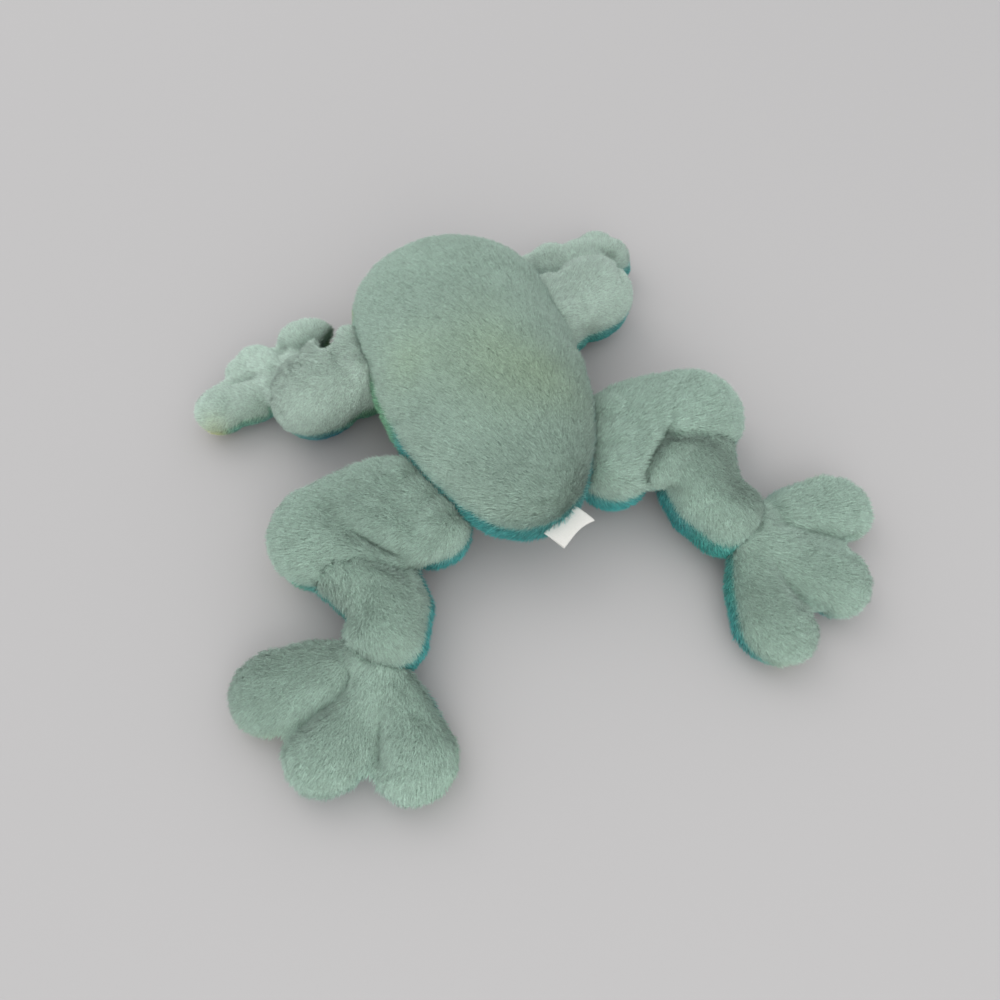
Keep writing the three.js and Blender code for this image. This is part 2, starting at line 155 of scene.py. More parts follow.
def makeStudio():
    back = viewBack()
    camera = bpy.data.objects.new("photoCamera", bpy.data.cameras.new("photoCamera"))
    camera.data.sensor_width = 36
    camera.data.lens = view["lens"]
    camera.data.clip_start = 0.01
    camera.location = Vector(view["lookAt"]) + back * view["distance"]
    camera.rotation_euler = (-back).to_track_quat("-Z", "Y").to_euler()
    scene.collection.objects.link(camera)
    scene.camera = camera

    floorMesh = bpy.data.meshes.new("floor")
    half = studio["floorSize"] / 2
    corners = [(-half, -half, 0), (half, -half, 0), (half, half, 0), (-half, half, 0)]
    floorMesh.from_pydata(corners, [], [(0, 1, 2, 3)])
    floor = bpy.data.objects.new("floor", floorMesh)
    scene.collection.objects.link(floor)
    floorPaint, _, shader = newMaterial("palePaper")
    setInputs(shader, Base_Color=(*studio["floorColour"], 1), Roughness=0.85, Specular_IOR_Level=0.15)
    floorMesh.materials.append(floorPaint)

    world = bpy.data.worlds.new("studioLight")
    world.use_nodes = True
    sky = world.node_tree.nodes["Background"]
    setInputs(sky, Color=(*studio["worldColour"], 1), Strength=studio["worldStrength"])
    scene.world = world

    for name in ("window", "fill"):
        lamp = bpy.data.objects.new(name, bpy.data.lights.new(name, "AREA"))
        lamp.data.size = studio[f"{name}Size"]
        lamp.data.energy = studio[f"{name}Power"]
        lamp.data.color = studio["windowColour"]
        lamp.location = studio[f"{name}Place"]
        lamp.rotation_euler = (-Vector(studio[f"{name}Place"])).to_track_quat("-Z", "Y").to_euler()
        scene.collection.objects.link(lamp)

    scene.view_settings.view_transform = "Standard"


# Plush finishes

plushLook = {
    "strandSize": 0.0009,  # across one strand's mark in the pile
    "clumpSize": 0.004,
    "shadeDepth": 0.6,
    "bumpDistance": 0.0012,
    "bumpStrength": 0.7,
    "gloss": 0.12,
    "sheenRoughness": 0.45,
    "roughness": 0.72,
    "roughnessShare": 0.2,  # of the strands' shade
}


def makePileGroup():
    # light and shade among the strands of a pile, for every plush
    tree = bpy.data.node_groups.new("pileShade", "ShaderNodeTree")
    addSockets(tree, "INPUT", {"Strand Size": "Float", "Clump Size": "Float", "Depth": "Float"})
    addSockets(tree, "OUTPUT", {"Shade": "Float", "Height": "Float"})
    given = addNode(tree, "NodeGroupInput")
    place = addNode(tree, "ShaderNodeTexCoord").outputs["Object"]
    fine = addNode(tree, "ShaderNodeTexNoise", {
        "Vector": place, "Scale": addMath(tree, "DIVIDE", 1.0, given.outputs["Strand Size"]),
        "Detail": 2.0, "Distortion": 0.6})
    wide = addNode(tree, "ShaderNodeTexNoise", {
        "Vector": place, "Scale": addMath(tree, "DIVIDE", 1.0, given.outputs["Clump Size"]),
        "Detail": 3.0, "Distortion": 1.2})
    height = addMath(tree, "ADD", fine.outputs[0], wide.outputs[0])
    centred = addMath(tree, "SUBTRACT", height, 1.0)
    shade = addMath(tree, "MULTIPLY_ADD", centred, given.outputs["Depth"], 1.0)
    result = addNode(tree, "NodeGroupOutput")
    tree.links.new(shade, result.inputs["Shade"])
    tree.links.new(height, result.inputs["Height"])
    return tree


def makePlush(name, sheenTint, sheenWeight):
    material, tree, shader = newMaterial(name)
    pile = addNode(tree, "ShaderNodeGroup", {
        "Strand Size": plushLook["strandSize"], "Clump Size": plushLook["clumpSize"],
        "Depth": plushLook["shadeDepth"]}, node_tree=pileGroup)
    tint = addNode(tree, "ShaderNodeAttribute", attribute_name="tint")
    shaded = addNode(tree, "ShaderNodeVectorMath", {
        0: tint.outputs["Color"], 1: pile.outputs["Shade"]}, operation="MULTIPLY")
    bump = addNode(tree, "ShaderNodeBump", {
        "Height": pile.outputs["Height"],
        "Strength": plushLook["bumpStrength"],
        "Distance": plushLook["bumpDistance"]})
    rough = addMath(
        tree, "MULTIPLY_ADD", pile.outputs["Shade"], plushLook["roughnessShare"], plushLook["roughness"])
    tree.links.new(shaded.outputs[0], shader.inputs["Base Color"])
    tree.links.new(rough, shader.inputs["Roughness"])
    tree.links.new(bump.outputs[0], shader.inputs["Normal"])
    setInputs(
        shader, Specular_IOR_Level=plushLook["gloss"], Sheen_Weight=sheenWeight,
        Sheen_Roughness=plushLook["sheenRoughness"], Sheen_Tint=(*sheenTint, 1))
    return material


# Dye: where each colour of the tie-dyed back lies, and how pale the belly is

dye = {
    "warpSize": 0.05,
    "warp": 0.022,
    "blotFall": 3.2,
    "baseShare": 0.02,  # of teal, where no blot reaches
    "castWarp": 0.4,
    "mixFrom": 0.02,
    "colours": {
        "blue": (0.022, 0.29, 0.42),
        "teal": (0.04, 0.37, 0.36),
        "turquoise": (0.06, 0.42, 0.36),
        "green": (0.17, 0.42, 0.22),
        "lime": (0.4, 0.55, 0.2),
        "yellow": (0.62, 0.6, 0.22),
    },
    "blots": [
        ("teal", (0.0, -0.062, 0.02), 0.045),
        ("teal", (0.05, -0.03, 0.01), 0.05),
        ("teal", (-0.06, -0.03, 0.01), 0.045),
        ("green", (-0.075, 0.06, 0.03), 0.035),
        ("lime", (-0.07, 0.14, 0.03), 0.03),
        ("yellow", (-0.045, 0.165, 0.02), 0.03),
        ("turquoise", (0.06, 0.085, 0.02), 0.04),
        ("lime", (0.07, 0.06, 0.035), 0.022),
        ("blue", (0.02, 0.1, 0.0), 0.045),
        ("green", (0.01, 0.03, 0.0), 0.035),
        ("teal", (0.1, 0.11, 0.01), 0.04),
        ("blue", (-0.11, 0.09, 0.01), 0.035),
        ("green", (-0.135, 0.085, 0.015), 0.028),
        ("yellow", (-0.205, 0.1, 0.01), 0.035),
        ("lime", (-0.17, 0.125, 0.01), 0.028),
        ("green", (0.1, 0.16, 0.01), 0.03),
        ("yellow", (0.06, 0.18, 0.01), 0.026),
        ("teal", (-0.11, -0.02, 0.01), 0.045),
        ("lime", (-0.155, 0.0, 0.012), 0.024),
        ("green", (-0.155, -0.045, 0.012), 0.028),
        ("teal", (-0.088, -0.075, 0.015), 0.035),
        ("turquoise", (-0.15, -0.13, 0.008), 0.045),
        ("lime", (-0.195, -0.11, 0.008), 0.03),
        ("green", (-0.11, -0.165, 0.008), 0.03),
        ("teal", (0.11, -0.01, 0.01), 0.045),
        ("lime", (0.16, -0.01, 0.015), 0.022),
        ("teal", (0.095, -0.05, 0.012), 0.03),
        ("turquoise", (0.105, -0.11, 0.01), 0.03),
        ("lime", (0.11, -0.155, 0.01), 0.022),
        ("lime", (0.125, -0.18, 0.01), 0.022),
        ("teal", (0.17, -0.13, 0.008), 0.04),
        ("yellow", (0.2, -0.09, 0.008), 0.028),
    ],
    "mint": {  # of the undyed belly side, one for each kind of limb; the arms, and a little the legs, paler than the body, partly their own paler fur and partly painted light where more light falls on them
        "body": (0.44, 0.6, 0.5),
        "arm": (0.62, 0.79, 0.68),
        "leg": (0.48, 0.66, 0.55),
    },
    "fadeIn": 0.5,  # how far dye and undyed plush run into each other at a seam
    "fadeOut": 0.3,
    "fade": 0.0028,
    "patchSize": 0.03,
    "patch": 0.07,
    "casts": [  # greener and yellower in places on the chest, and dye at a finger's tip
        ((0.005, 0.045), 0.03, (1.02, 1.01, 0.92)),
        ((0.03, 0.02), 0.022, (1.02, 1.01, 0.92)),
        ((-0.045, 0.062), 0.02, (1.01, 1.01, 0.94)),
        ((-0.181, 0.087), 0.011, (1.1, 1.0, 0.74)),
    ],
}


def warped(point):
    shift = noise.noise_vector(Vector(point) / dye["warpSize"], noise_basis="BLENDER")
    return Vector(point) + shift * dye["warp"]


def dyedTint(point):
    place = warped(point)
    total, weight = Vector((0, 0, 0)), 1e-9
    for colour, centre, reach in dye["blots"]:
        share = math.exp(-dye["blotFall"] * (place - Vector(centre)).length_squared / reach ** 2)
        total += Vector(dye["colours"][colour]) * share
        weight += share
    base = Vector(dye["colours"]["teal"])
    return (total + base * dye["baseShare"]) / (weight + dye["baseShare"])


def paleTint(point, mint):
    place = Vector(point)
    patch = dye["patch"] * noise.noise(place / dye["patchSize"], noise_basis="BLENDER")
    tint = Vector(mint) * (1 + patch)
    drift = place.lerp(warped(point), dye["castWarp"])
    for (x, y), reach, cast in dye["casts"]:
        share = math.exp(-((drift.x - x) ** 2 + (drift.y - y) ** 2) / reach ** 2)
        tint *= Vector((1, 1, 1)).lerp(Vector(cast), share)
    return tint


def mixedTint(point, dyedShare, mint):
    if dyedShare < dye["mixFrom"]:
        return paleTint(point, mint)
    if dyedShare > 1 - dye["mixFrom"]:
        return dyedTint(point)
    return paleTint(point, mint).lerp(dyedTint(point), dyedShare)


# Stuffed forms, made from the frame's own solids

form = {
    "voxel": 0.0017,
    "relaxRounds": 16,
    "relaxBack": 0.47,
    "pileDepth": 0.0008,  # the skin lies this far inside the solid, and the pile fills it out
    "foldRoom": 0.0006,
    "hiddenPast": 0.0035,
    "lipRounds": 2,
    "lumpSize": 0.034,
    "lump": 0.0006,
    "creaseSize": 0.011,
    "crease": 0.0005,
    "seamWidth": 0.003,
    "seamDepth": 0.0011,
    "floorRoom": 0.0016,
    "hollowReach": 2.2,  # of the fold's room: how near the filling form the pile stops
    "lastEasing": 0.35,
}
# Folds pressed into the stuffing: width, depth, and points of the camera's frame with their share of the depth
folds = {
    "body": [
        (0.0042, 0.0018, [(368, 436, 0.2), (390, 427, 1), (420, 415, 0.8), (448, 402, 0)]),
        (0.011, 0.003, [
            (530, 272, 0), (537, 288, 0.8), (547, 306, 1), (560, 326, 1), (572, 342, 0.6), (580, 356, 0)]),
        (0.009, 0.0025, [(366, 350, 0), (368, 364, 1), (369, 380, 1), (372, 398, 0)]),
    ],
    "right_leg": [
        (0.0075, 0.007, [
            (318, 498, 0), (330, 510, 0.5), (354, 531, 0.9), (377, 547, 1), (403, 559, 1), (425, 570, 0.8)]),
        (0.003, 0.008, [
            (345, 523, 0), (358, 534, 0.6), (377, 548, 1), (390, 555, 1), (403, 562, 1), (425, 573, 1)]),
        (0.005, 0.0022, [(378, 570, 0), (368, 583, 1), (363, 600, 0.5)]),
        (0.007, 0.0042, [
            (347, 664, 0), (348, 673, 1), (343, 688, 1), (330, 702, 1), (313, 713, 1), (298, 727, 1),
            (286, 743, 1.2), (280, 752, 1.2)]),
        (0.0017, 0.0044, [
            (345, 655, 0.3), (348, 673, 1), (343, 688, 1), (330, 702, 1), (313, 713, 1), (298, 727, 1),
            (286, 743, 1)]),
        (0.007, 0.0042, [
            (383, 690, 0), (379, 707, 0.7), (377, 737, 1), (375, 763, 1), (374, 792, 1.2), (374, 803, 1.2)]),
        (0.0017, 0.0044, [(383, 690, 0), (379, 707, 0.7), (377, 737, 1), (375, 763, 1), (374, 792, 1)]),
    ],
    "left_leg": [
        (0.0024, 0.0034, [(673, 396, 0), (670, 410, 0.7), (669, 430, 1)]),
        (0.005, 0.004, [(642, 407, 0), (655, 420, 0.6), (667, 430, 1)]),
        (0.0032, 0.0056, [
            (669, 430, 1), (675, 434, 1), (692, 434, 0.8), (704, 434, 0.6), (714, 439, 0.4),
            (722, 446, 0)]),
        (0.0036, 0.0062, [
            (669, 432, 0.7), (660, 444, 1.6), (654, 457, 1), (649, 469, 1), (645, 480, 1), (643, 494, 1)]),
        (0.007, 0.0042, [
            (761, 497, 0), (775, 508, 0.6), (786, 521, 1), (805, 528, 1), (823, 532, 1), (837, 537, 1),
            (855, 540, 1.2), (868, 544, 1.2)]),
        (0.0017, 0.0044, [
            (761, 497, 0), (775, 508, 0.6), (786, 521, 1), (805, 528, 1), (823, 532, 1), (837, 537, 1),
            (855, 540, 1)]),
        (0.007, 0.0042, [
            (767, 550, 0), (777, 563, 0.8), (787, 577, 1), (797, 590, 1), (806, 600, 1), (813, 613, 1.2),
            (818, 622, 1.2)]),
        (0.0017, 0.0044, [
            (767, 550, 0), (777, 563, 0.8), (787, 577, 1), (797, 590, 1), (806, 600, 1), (813, 613, 1)]),
    ],
    "left_thigh": [
        (0.0085, 0.0085, [
            (696, 444, 0.6), (684, 447, 0.8), (676, 455, 1), (668, 466, 0.9), (660, 478, 0.5),
            (653, 490, 0)]),
    ],
    "left_calf": [
        (0.011, -0.0035, [(688, 452, 0.6), (676, 462, 1), (668, 472, 0.5), (662, 482, 0)]),
    ],
    "right_arm": [
        (0.01, 0.003, [(345, 330, 1), (358, 334, 0.8), (366, 342, 0)]),
        (0.003, 0.0048, [
            (273, 341, 1), (281, 349, 0.7), (280, 362, 0.4), (274, 373, 0.5), (271, 386, 0.8),
            (274, 397, 1), (281, 413, 1)]),
        (0.0045, 0.0022, [(281, 349, 0.5), (300, 353, 0.7), (320, 356, 0.5)]),
        (0.003, 0.005, [(232, 383, 1), (250, 376, 1), (268, 374, 0.3)]),
    ],
    "left_arm": [
        (0.01, 0.005, [(520, 262, 0), (535, 269, 1), (550, 272, 1), (564, 272, 0)]),
        (0.003, 0.004, [(570, 243, 1), (572, 252, 0.4), (570, 262, 0)]),
        (0.003, 0.0045, [(592, 246, 0), (600, 251, 0.8), (610, 259, 1), (620, 269, 1), (625, 278, 1)]),
        (0.018, 0.0045, [(572, 338, 0.5), (597, 333, 1), (616, 318, 1), (626, 298, 1), (627, 278, 0.5)]),
    ],
}


def foldLines(name, solid):
    lines = []
    for width, depth, line in folds[name]:
        places = [(seenOn(solid, across, down), share) for across, down, share in line]
        lines.append((width, depth, [(place, share) for place, share in places if place is not None]))
    return lines


def foldPress(points, lines):
    press = np.zeros(len(points))
    for width, depth, places in lines:
        nearest, shares = np.full(len(points), 1.0), np.zeros(len(points))
        for (start, startShare), (end, endShare) in zip(places, places[1:]):
            start, along = np.array(start), np.array(end - start)
            reach = np.clip((points - start) @ along / (along @ along), 0, 1)
            away = np.linalg.norm(points - start - reach[:, None] * along, axis=1)
            closer = away < nearest
            nearest = np.where(closer, away, nearest)
            shares = np.where(closer, startShare + reach * (endShare - startShare), shares)
        press += depth * shares * np.exp(-(nearest / width) ** 2)
    return press


def linked(name, mesh):
    made = bpy.data.objects.new(name, mesh)
    scene.collection.objects.link(made)
    return made


def meshOf(solid, name):
    mesh = bpy.data.meshes.new(name)
    solid.to_mesh(mesh)
    solid.free()
    return mesh


def mergedSolid(nodeNames):
    solid = bmesh.new()
    for nodeName in nodeNames:
        solid.from_mesh(nodes[nodeName].data)
    bmesh.ops.remove_doubles(solid, verts=solid.verts, dist=2e-6)
    return solid


def surfaceTree(nodeNames):
    solid = mergedSolid(nodeNames)
    tree = BVHTree.FromBMesh(solid)
    solid.free()
    return tree


def distancesTo(tree, points):
    return np.array([tree.find_nearest(Vector(p))[3] for p in points])


def evaluatedMesh(piece):
    shown = piece.evaluated_get(bpy.context.evaluated_depsgraph_get())
    return bpy.data.meshes.new_from_object(shown)


def applyModifiers(piece):
    mesh = evaluatedMesh(piece)
    piece.modifiers.clear()
    piece.data = mesh


def addRemesh(piece, voxel):
    remesh = piece.modifiers.new("remesh", "REMESH")
    remesh.mode = "VOXEL"
    remesh.voxel_size = voxel


def addCut(piece, cutter):
    cut = piece.modifiers.new("cut", "BOOLEAN")
    cut.operation = "DIFFERENCE"
    cut.solver = "MANIFOLD"
    cut.object = cutter


def largestIsland(mesh):
    solid = bmesh.new()
    solid.from_mesh(mesh)
    unseen, islands = set(solid.verts), []
    while unseen:
        first = unseen.pop()
        island, edge = [first], [first]
        while edge:
            for link in edge.pop().link_edges:
                for vert in link.verts:
                    if vert in unseen:
                        unseen.discard(vert)
                        island.append(vert)
                        edge.append(vert)
        islands.append(island)
    islands.sort(key=len)
    bmesh.ops.delete(solid, geom=[vert for island in islands[:-1] for vert in island], context="VERTS")
    solid.to_mesh(mesh)
    solid.free()


def valuesOf(items, field, width=1, kind=np.float32):
    values = np.zeros(len(items) * width, kind)
    items.foreach_get(field, values)
    return values.reshape(-1, width) if width > 1 else values


def pointsOf(mesh):
    return valuesOf(mesh.vertices, "co", 3).astype(float)


def normalsOf(mesh):
    return valuesOf(mesh.vertex_normals, "vector", 3).astype(float)


def edgesOf(mesh):
    return valuesOf(mesh.edges, "vertices", 2, np.int32)


def setPoints(mesh, points):
    mesh.vertices.foreach_set("co", points.astype(np.float32).ravel())
    mesh.update()


def relaxed(points, edges, rounds, share=0.5):
    count = np.maximum(np.bincount(edges.ravel(), minlength=len(points)), 1)[:, None]
    for _ in range(rounds):
        total = np.stack([
            np.bincount(edges[:, 0], points[edges[:, 1], k], len(points))
            + np.bincount(edges[:, 1], points[edges[:, 0], k], len(points))
            for k in range(3)
        ], 1)
        points = points + share * (total / count - points)
    return points


def eased(points, edges, rounds):
    # out again after each step in, so that the form keeps its size
    for _ in range(rounds):
        points = relaxed(relaxed(points, edges, 1, 0.5), edges, 1, -form["relaxBack"])
    return points


def noiseAt(points, size, seed):
    offset = Vector((seed * 3.7, seed * 1.3, seed * 2.1))
    return np.array([noise.noise(Vector(p) / size + offset) for p in points])


def ankleOf(side):
    joint = joints[f"{side}_ankle"]
    axis = Vector(joint["axis"])
    return Vector(joint["pos_m"]), Vector((-axis.y, axis.x, 0)).normalized()


def ellipsoids(places, lean=0):
    # from their middles, half sizes and headings, their tops leaning towards the feet
    lean = Matrix.Rotation(math.radians(lean), 4, "X")
    return [
        Matrix.Translation(middle) @ lean @ Matrix.Rotation(math.radians(heading), 4, "Z")
        @ Matrix.Diagonal((*half, 1))
        for middle, half, heading in places
    ]


def remeshed(name, nodeNames, fillers, voxel, hollows=()):
    solid = mergedSolid(nodeNames)
    for filler in fillers:
        bmesh.ops.create_icosphere(solid, subdivisions=3, radius=1, matrix=filler)
    piece = linked(name, meshOf(solid, name))
    addRemesh(piece, voxel)
    cutters = []
    for hollow in hollows:
        shape = bmesh.new()
        bmesh.ops.create_icosphere(shape, subdivisions=4, radius=1, matrix=hollow)
        cutters.append(linked("hollow", meshOf(shape, "hollow")))
        addCut(piece, cutters[-1])
    if hollows:
        addRemesh(piece, voxel)
    applyModifiers(piece)
    for cutter in cutters:
        bpy.data.objects.remove(cutter)
    largestIsland(piece.data)
    return piece


# The stuffing's push, simulated: pressure inside a cloth whose side seam is drawn in by its thread

stuffing = {
    "voxel": 0.005,
    "frames": 20,
    "pressure": 4.0,
    "steps": 5,
    "mass": 0.15,
    "stretch": 40.0,
    "bend": 0.5,
    "seamReach": 0.004,
    "seamShrink": 0.16,
    "cap": 0.003,  # furthest that any place moves
    "fade": 0.006,
}


def swollen(name, nodeNames, fillers=()):
    # how each place of a coarse cloth copy moves when it is blown up
    piece = remeshed(name, nodeNames, fillers, stuffing["voxel"])
    start, normals = pointsOf(piece.data), normalsOf(piece.data)
    tree = KDTree(len(start))
    for index, place in enumerate(start):
        tree.insert(place, index)
    tree.balance()
    toBelly = distancesTo(surfaceTree([n for n in nodeNames if n.endswith("belly_panel")]), start)
    toBack = distancesTo(surfaceTree([n for n in nodeNames if n.endswith("back_panel")]), start)
    seam = piece.vertex_groups.new(name="seam")
    for index, share in enumerate(np.exp(-((toBelly - toBack) / stuffing["seamReach"]) ** 2)):
        seam.add([index], float(share), "REPLACE")
    cloth = piece.modifiers.new("stuffing", "CLOTH")
    fabric = cloth.settings
    fabric.quality = stuffing["steps"]
    fabric.mass = stuffing["mass"]
    fabric.tension_stiffness = fabric.compression_stiffness = stuffing["stretch"]
    fabric.shear_stiffness = stuffing["stretch"] / 3
    fabric.bending_stiffness = stuffing["bend"]
    fabric.use_pressure = True
    fabric.uniform_pressure_force = stuffing["pressure"]
    fabric.effector_weights.gravity = 0
    fabric.vertex_group_shrink = "seam"
    fabric.shrink_min = 0.0
    fabric.shrink_max = stuffing["seamShrink"]
    cloth.point_cache.frame_start = 1
    cloth.point_cache.frame_end = stuffing["frames"]
    for frameNumber in range(1, stuffing["frames"] + 1):
        scene.frame_set(frameNumber)
    moves = pointsOf(evaluatedMesh(piece)) - start
    scene.frame_set(1)
    bpy.data.objects.remove(piece)
    moves -= moves.mean(0)
    moves -= normals * (moves * normals).sum(1).mean()  # it swells in places, and is no larger as a whole
    length = np.linalg.norm(moves, axis=1)
    moves *= stuffing["cap"] / max(np.percentile(length, 80), stuffing["cap"])
    length = np.linalg.norm(moves, axis=1)
    moves *= (stuffing["cap"] / np.maximum(length, stuffing["cap"]))[:, None]
    return tree, moves


def movesAt(points, swell):
    tree, moves = swell
    result, depth = np.zeros_like(points), np.zeros(len(points))
    for k, point in enumerate(points):
        near = tree.find_n(point, 6)
        shares = np.array([math.exp(-(away / stuffing["voxel"]) ** 2) for _, _, away in near]) + 1e-9
        move = (moves[[index for _, index, _ in near]] * shares[:, None]).sum(0) / shares.sum()
        result[k] = move * math.exp(-(near[0][2] / stuffing["fade"]) ** 2)
        depth[k] = near[0][2]
    return result, depth


def softForm(name, nodeNames, fillers=(), lines=(), under=form["pileDepth"], swell=None, hollows=()):
    # the solids as one stuffed form: facets relaxed away, folds pressed in, the skin under its pile
    piece = remeshed(name, nodeNames, fillers, form["voxel"], hollows)
    mesh = piece.data
    points, edges = pointsOf(mesh), edgesOf(mesh)
    points = eased(points, edges, form["relaxRounds"])
    shown = 1.0
    if swell is not None:
        moves, depth = movesAt(points, swell)
        points = points + moves
        # no fold where a form lies hidden inside the limb
        shown = np.exp(-(np.maximum(depth - form["hiddenPast"], 0) / form["hiddenPast"]) ** 2)
    setPoints(mesh, points)
    normals = normalsOf(mesh)
    lumps = noiseAt(points, form["lumpSize"], 1) * form["lump"]
    creases = noiseAt(points, form["creaseSize"], 2) * form["crease"]
    points = points + normals * (lumps + creases - under - foldPress(points, lines) * shown)[:, None]
    points[:, 2] = np.maximum(points[:, 2], form["floorRoom"])
    setPoints(mesh, relaxed(points, edges, 1, form["lastEasing"]))
    return piece


def cutBy(piece, cutter, room, rounded=True):
    # the fold: what a larger form fills is taken out of the smaller one that turns on it
    grown = linked("cutter", cutter.data.copy())
    grown.data.materials.clear()
    setPoints(grown.data, pointsOf(grown.data) + normalsOf(grown.data) * room)
    addCut(piece, grown)
    applyModifiers(piece)
    bpy.data.objects.remove(grown)
    largestIsland(piece.data)
    if rounded:
        # the lips of the fold rounded off
        addRemesh(piece, form["voxel"])
        applyModifiers(piece)
        largestIsland(piece.data)
        setPoints(piece.data, eased(pointsOf(piece.data), edgesOf(piece.data), form["lipRounds"]))


# Where the side seam runs: raised by the first number, and by how far the side faces along x and y

seamLift = {
    "body": (0.0035, -0.0018, -0.001),
    "right_thigh": (0.0025, 0.0, -0.003),
    "right_calf": (0.005, 0.0035, -0.001),
    "right_foot": (-0.004, 0.0, -0.003),
    "right_upper_arm": (0.001, 0.0, -0.003),
    "right_hand": (-0.0035, -0.0025, -0.0015),
    "left_thigh": (0.001, 0.0, -0.002),
    "left_calf": (0.006, -0.003, -0.002),
    "left_foot": (-0.0045, -0.0055, 0.0),
    "left_upper_arm": (0.003, 0.0, -0.004),
    "left_hand": (-0.002, 0.002, -0.002),
}


# Pile: which way it lies, its painted shade from root to tip, and how thick it grows

pile = {
    "density": 2.15e6,  # tufts on a square metre of belly
    "backShare": 0.7,
    "backLength": 0.9,
    "armLength": 0.65,
    "soleShare": 0.35,
    "soleFacing": -0.75,  # upright part of the normals that face the floor
    "flatten": (1.25, 0.4),  # shorter towards the floor, down to the second share
    "lengths": (0.72, 1.12),  # from tuft to tuft
    "mapNudge": 0.05,  # how far a tuft's tip is off its root on the map, for each metre
    "length": 0.0057,
    "width": 0.00068,
    "rise": 0.82,
    "clumpSize": 0.004,
    "clumpLean": 1.0,
    "scatter": 0.34,
    "roundness": 0.6,  # how far a tuft is shaded by its own roundness, past its skin's
    "rootShade": 0.82,  # painted shade: this share of the tint, deep in the pile
    # painted highlight: this share of the tint at each tuft's tip
    "tipShade": 1.09,
    "dull": 0.86,  # from tuft to tuft
    "bright": 1.14,
    "dyedContrast": 1.8,
    "swirlSize": 0.045,
    "swirl": 0.3,
    "trialShare": 0.35,
}
pileSizes = (
    "density", "length", "width", "rise", "clumpSize", "clumpLean", "scatter", "roundness",
    "rootShade", "tipShade", "dull", "bright", "dyedContrast")


def solidOf(piece):
    mesh = piece.data
    return BVHTree.FromPolygons([v.co for v in mesh.vertices], [p.vertices for p in mesh.polygons])


def facesInto(tree, points, normals):
    # the hollow of a fold: close to the form that fills it, and turned to it
    found = [tree.find_nearest(Vector(p)) for p in points]
    near = np.array([away for _, _, _, away in found]) < form["foldRoom"] * form["hollowReach"]
    toward = np.array([place for place, _, _, _ in found]) - points
    return near & ((toward * normals).sum(1) > 0)


def napAt(points, normals, wayAt):
    # lies along the surface, swirled a little from place to place
    nap = wayAt(points)
    swirl = np.array([
        noise.noise_vector(Vector(p) / pile["swirlSize"], noise_basis="BLENDER") for p in points
    ])
    nap = nap + swirl * pile["swirl"]
    nap -= normals * (nap * normals).sum(1)[:, None]
    return nap / np.maximum(np.linalg.norm(nap, axis=1), 1e-6)[:, None]


def dressSkin(piece, segment, wayAt, hollowBy=None, bareAt=None, dyedTop=1.0):
    # paints the skin, sews in its side seam, and says how the pile grows on it
    mesh = piece.data
    points, normals = pointsOf(mesh), normalsOf(mesh)
    if f"{segment}_belly_panel" in nodes:
        toBelly = distancesTo(surfaceTree([f"{segment}_belly_panel"]), points)
        toBack = distancesTo(surfaceTree([f"{segment}_back_panel"]), points)
        lift = seamLift[segment]
        raised = lift[0] + normals[:, 0] * lift[1] + normals[:, 1] * lift[2]
        past = np.maximum(toBack - toBelly - raised, points[:, 2] - dyedTop)
        seam = np.exp(-(past / form["seamWidth"]) ** 2)
        points = points - normals * (seam * form["seamDepth"])[:, None]
        setPoints(mesh, points)
        dyed = (past < 0).astype(float)
        bled = np.where(
            past < 0, 1 - dye["fadeIn"] * np.exp(past / dye["fade"]),
            dye["fadeOut"] * np.exp(-past / dye["fade"]))
    else:
        dyed = bled = np.ones(len(points))
    limb = "body" if segment == "body" else "arm" if "arm" in segment or "hand" in segment else "leg"
    mint = dye["mint"][limb]
    tint = np.array([(*mixedTint(p, share, mint), 1.0) for p, share in zip(points, bled)])
    longShare = np.where(dyed > 0.5, pile["backLength"], 1.0)
    if limb == "arm":
        longShare *= pile["armLength"]
    grows = np.where(dyed > 0.5, pile["backShare"], 1.0)
    grows = np.where(normals[:, 2] < pile["soleFacing"], pile["soleShare"], grows)
    most, least = pile["flatten"]
    longShare *= np.clip(most + normals[:, 2], least, 1.0)
    if hollowBy is not None:
        grows = np.where(facesInto(hollowBy, points, normals), 0.0, grows)
    if bareAt is not None:
        grows = np.where(bareAt(points), 0.0, grows)
    nap = napAt(points, normals, wayAt)
    for name, kind, values in (
        ("tint", "FLOAT_COLOR", tint),
        ("nap", "FLOAT_VECTOR", nap),
        ("grows", "FLOAT", grows),
        ("dyed", "FLOAT", dyed),
        ("longShare", "FLOAT", longShare),
    ):
        attribute = mesh.attributes.new(name, kind, "POINT")
        field = {"FLOAT_COLOR": "color", "FLOAT_VECTOR": "vector", "FLOAT": "value"}[kind]
        attribute.data.foreach_set(field, values.astype(np.float32).ravel())
    mesh.materials.clear()
    mesh.materials.append(paleMaterial)
    mesh.materials.append(dyedMaterial)
    corners = valuesOf(mesh.loops, "vertex_index", kind=np.int32)
    starts = valuesOf(mesh.polygons, "loop_start", kind=np.int32)
    faceDyed = dyed[corners[starts]] > 0.5
    mesh.polygons.foreach_set("material_index", faceDyed.astype(np.int32))
    mesh.polygons.foreach_set("use_smooth", np.ones(len(mesh.polygons), bool))
    # belly and back lie side by side in the map, each seen square on
    low, high = points.min(0), points.max(0)
    flat = (points[:, :2] - low[:2]) / (high[:2] - low[:2])
    cornerDyed = np.repeat(faceDyed, valuesOf(mesh.polygons, "loop_total", kind=np.int32))
    flat = flat[corners]
    flat[:, 0] = 0.01 + flat[:, 0] * 0.48 + cornerDyed * 0.5
    flat[:, 1] = 0.01 + flat[:, 1] * 0.98
    layer = mesh.uv_layers.new(name="OFBake")
    layer.uv.foreach_set("vector", flat.astype(np.float32).ravel())
    mesh.update()


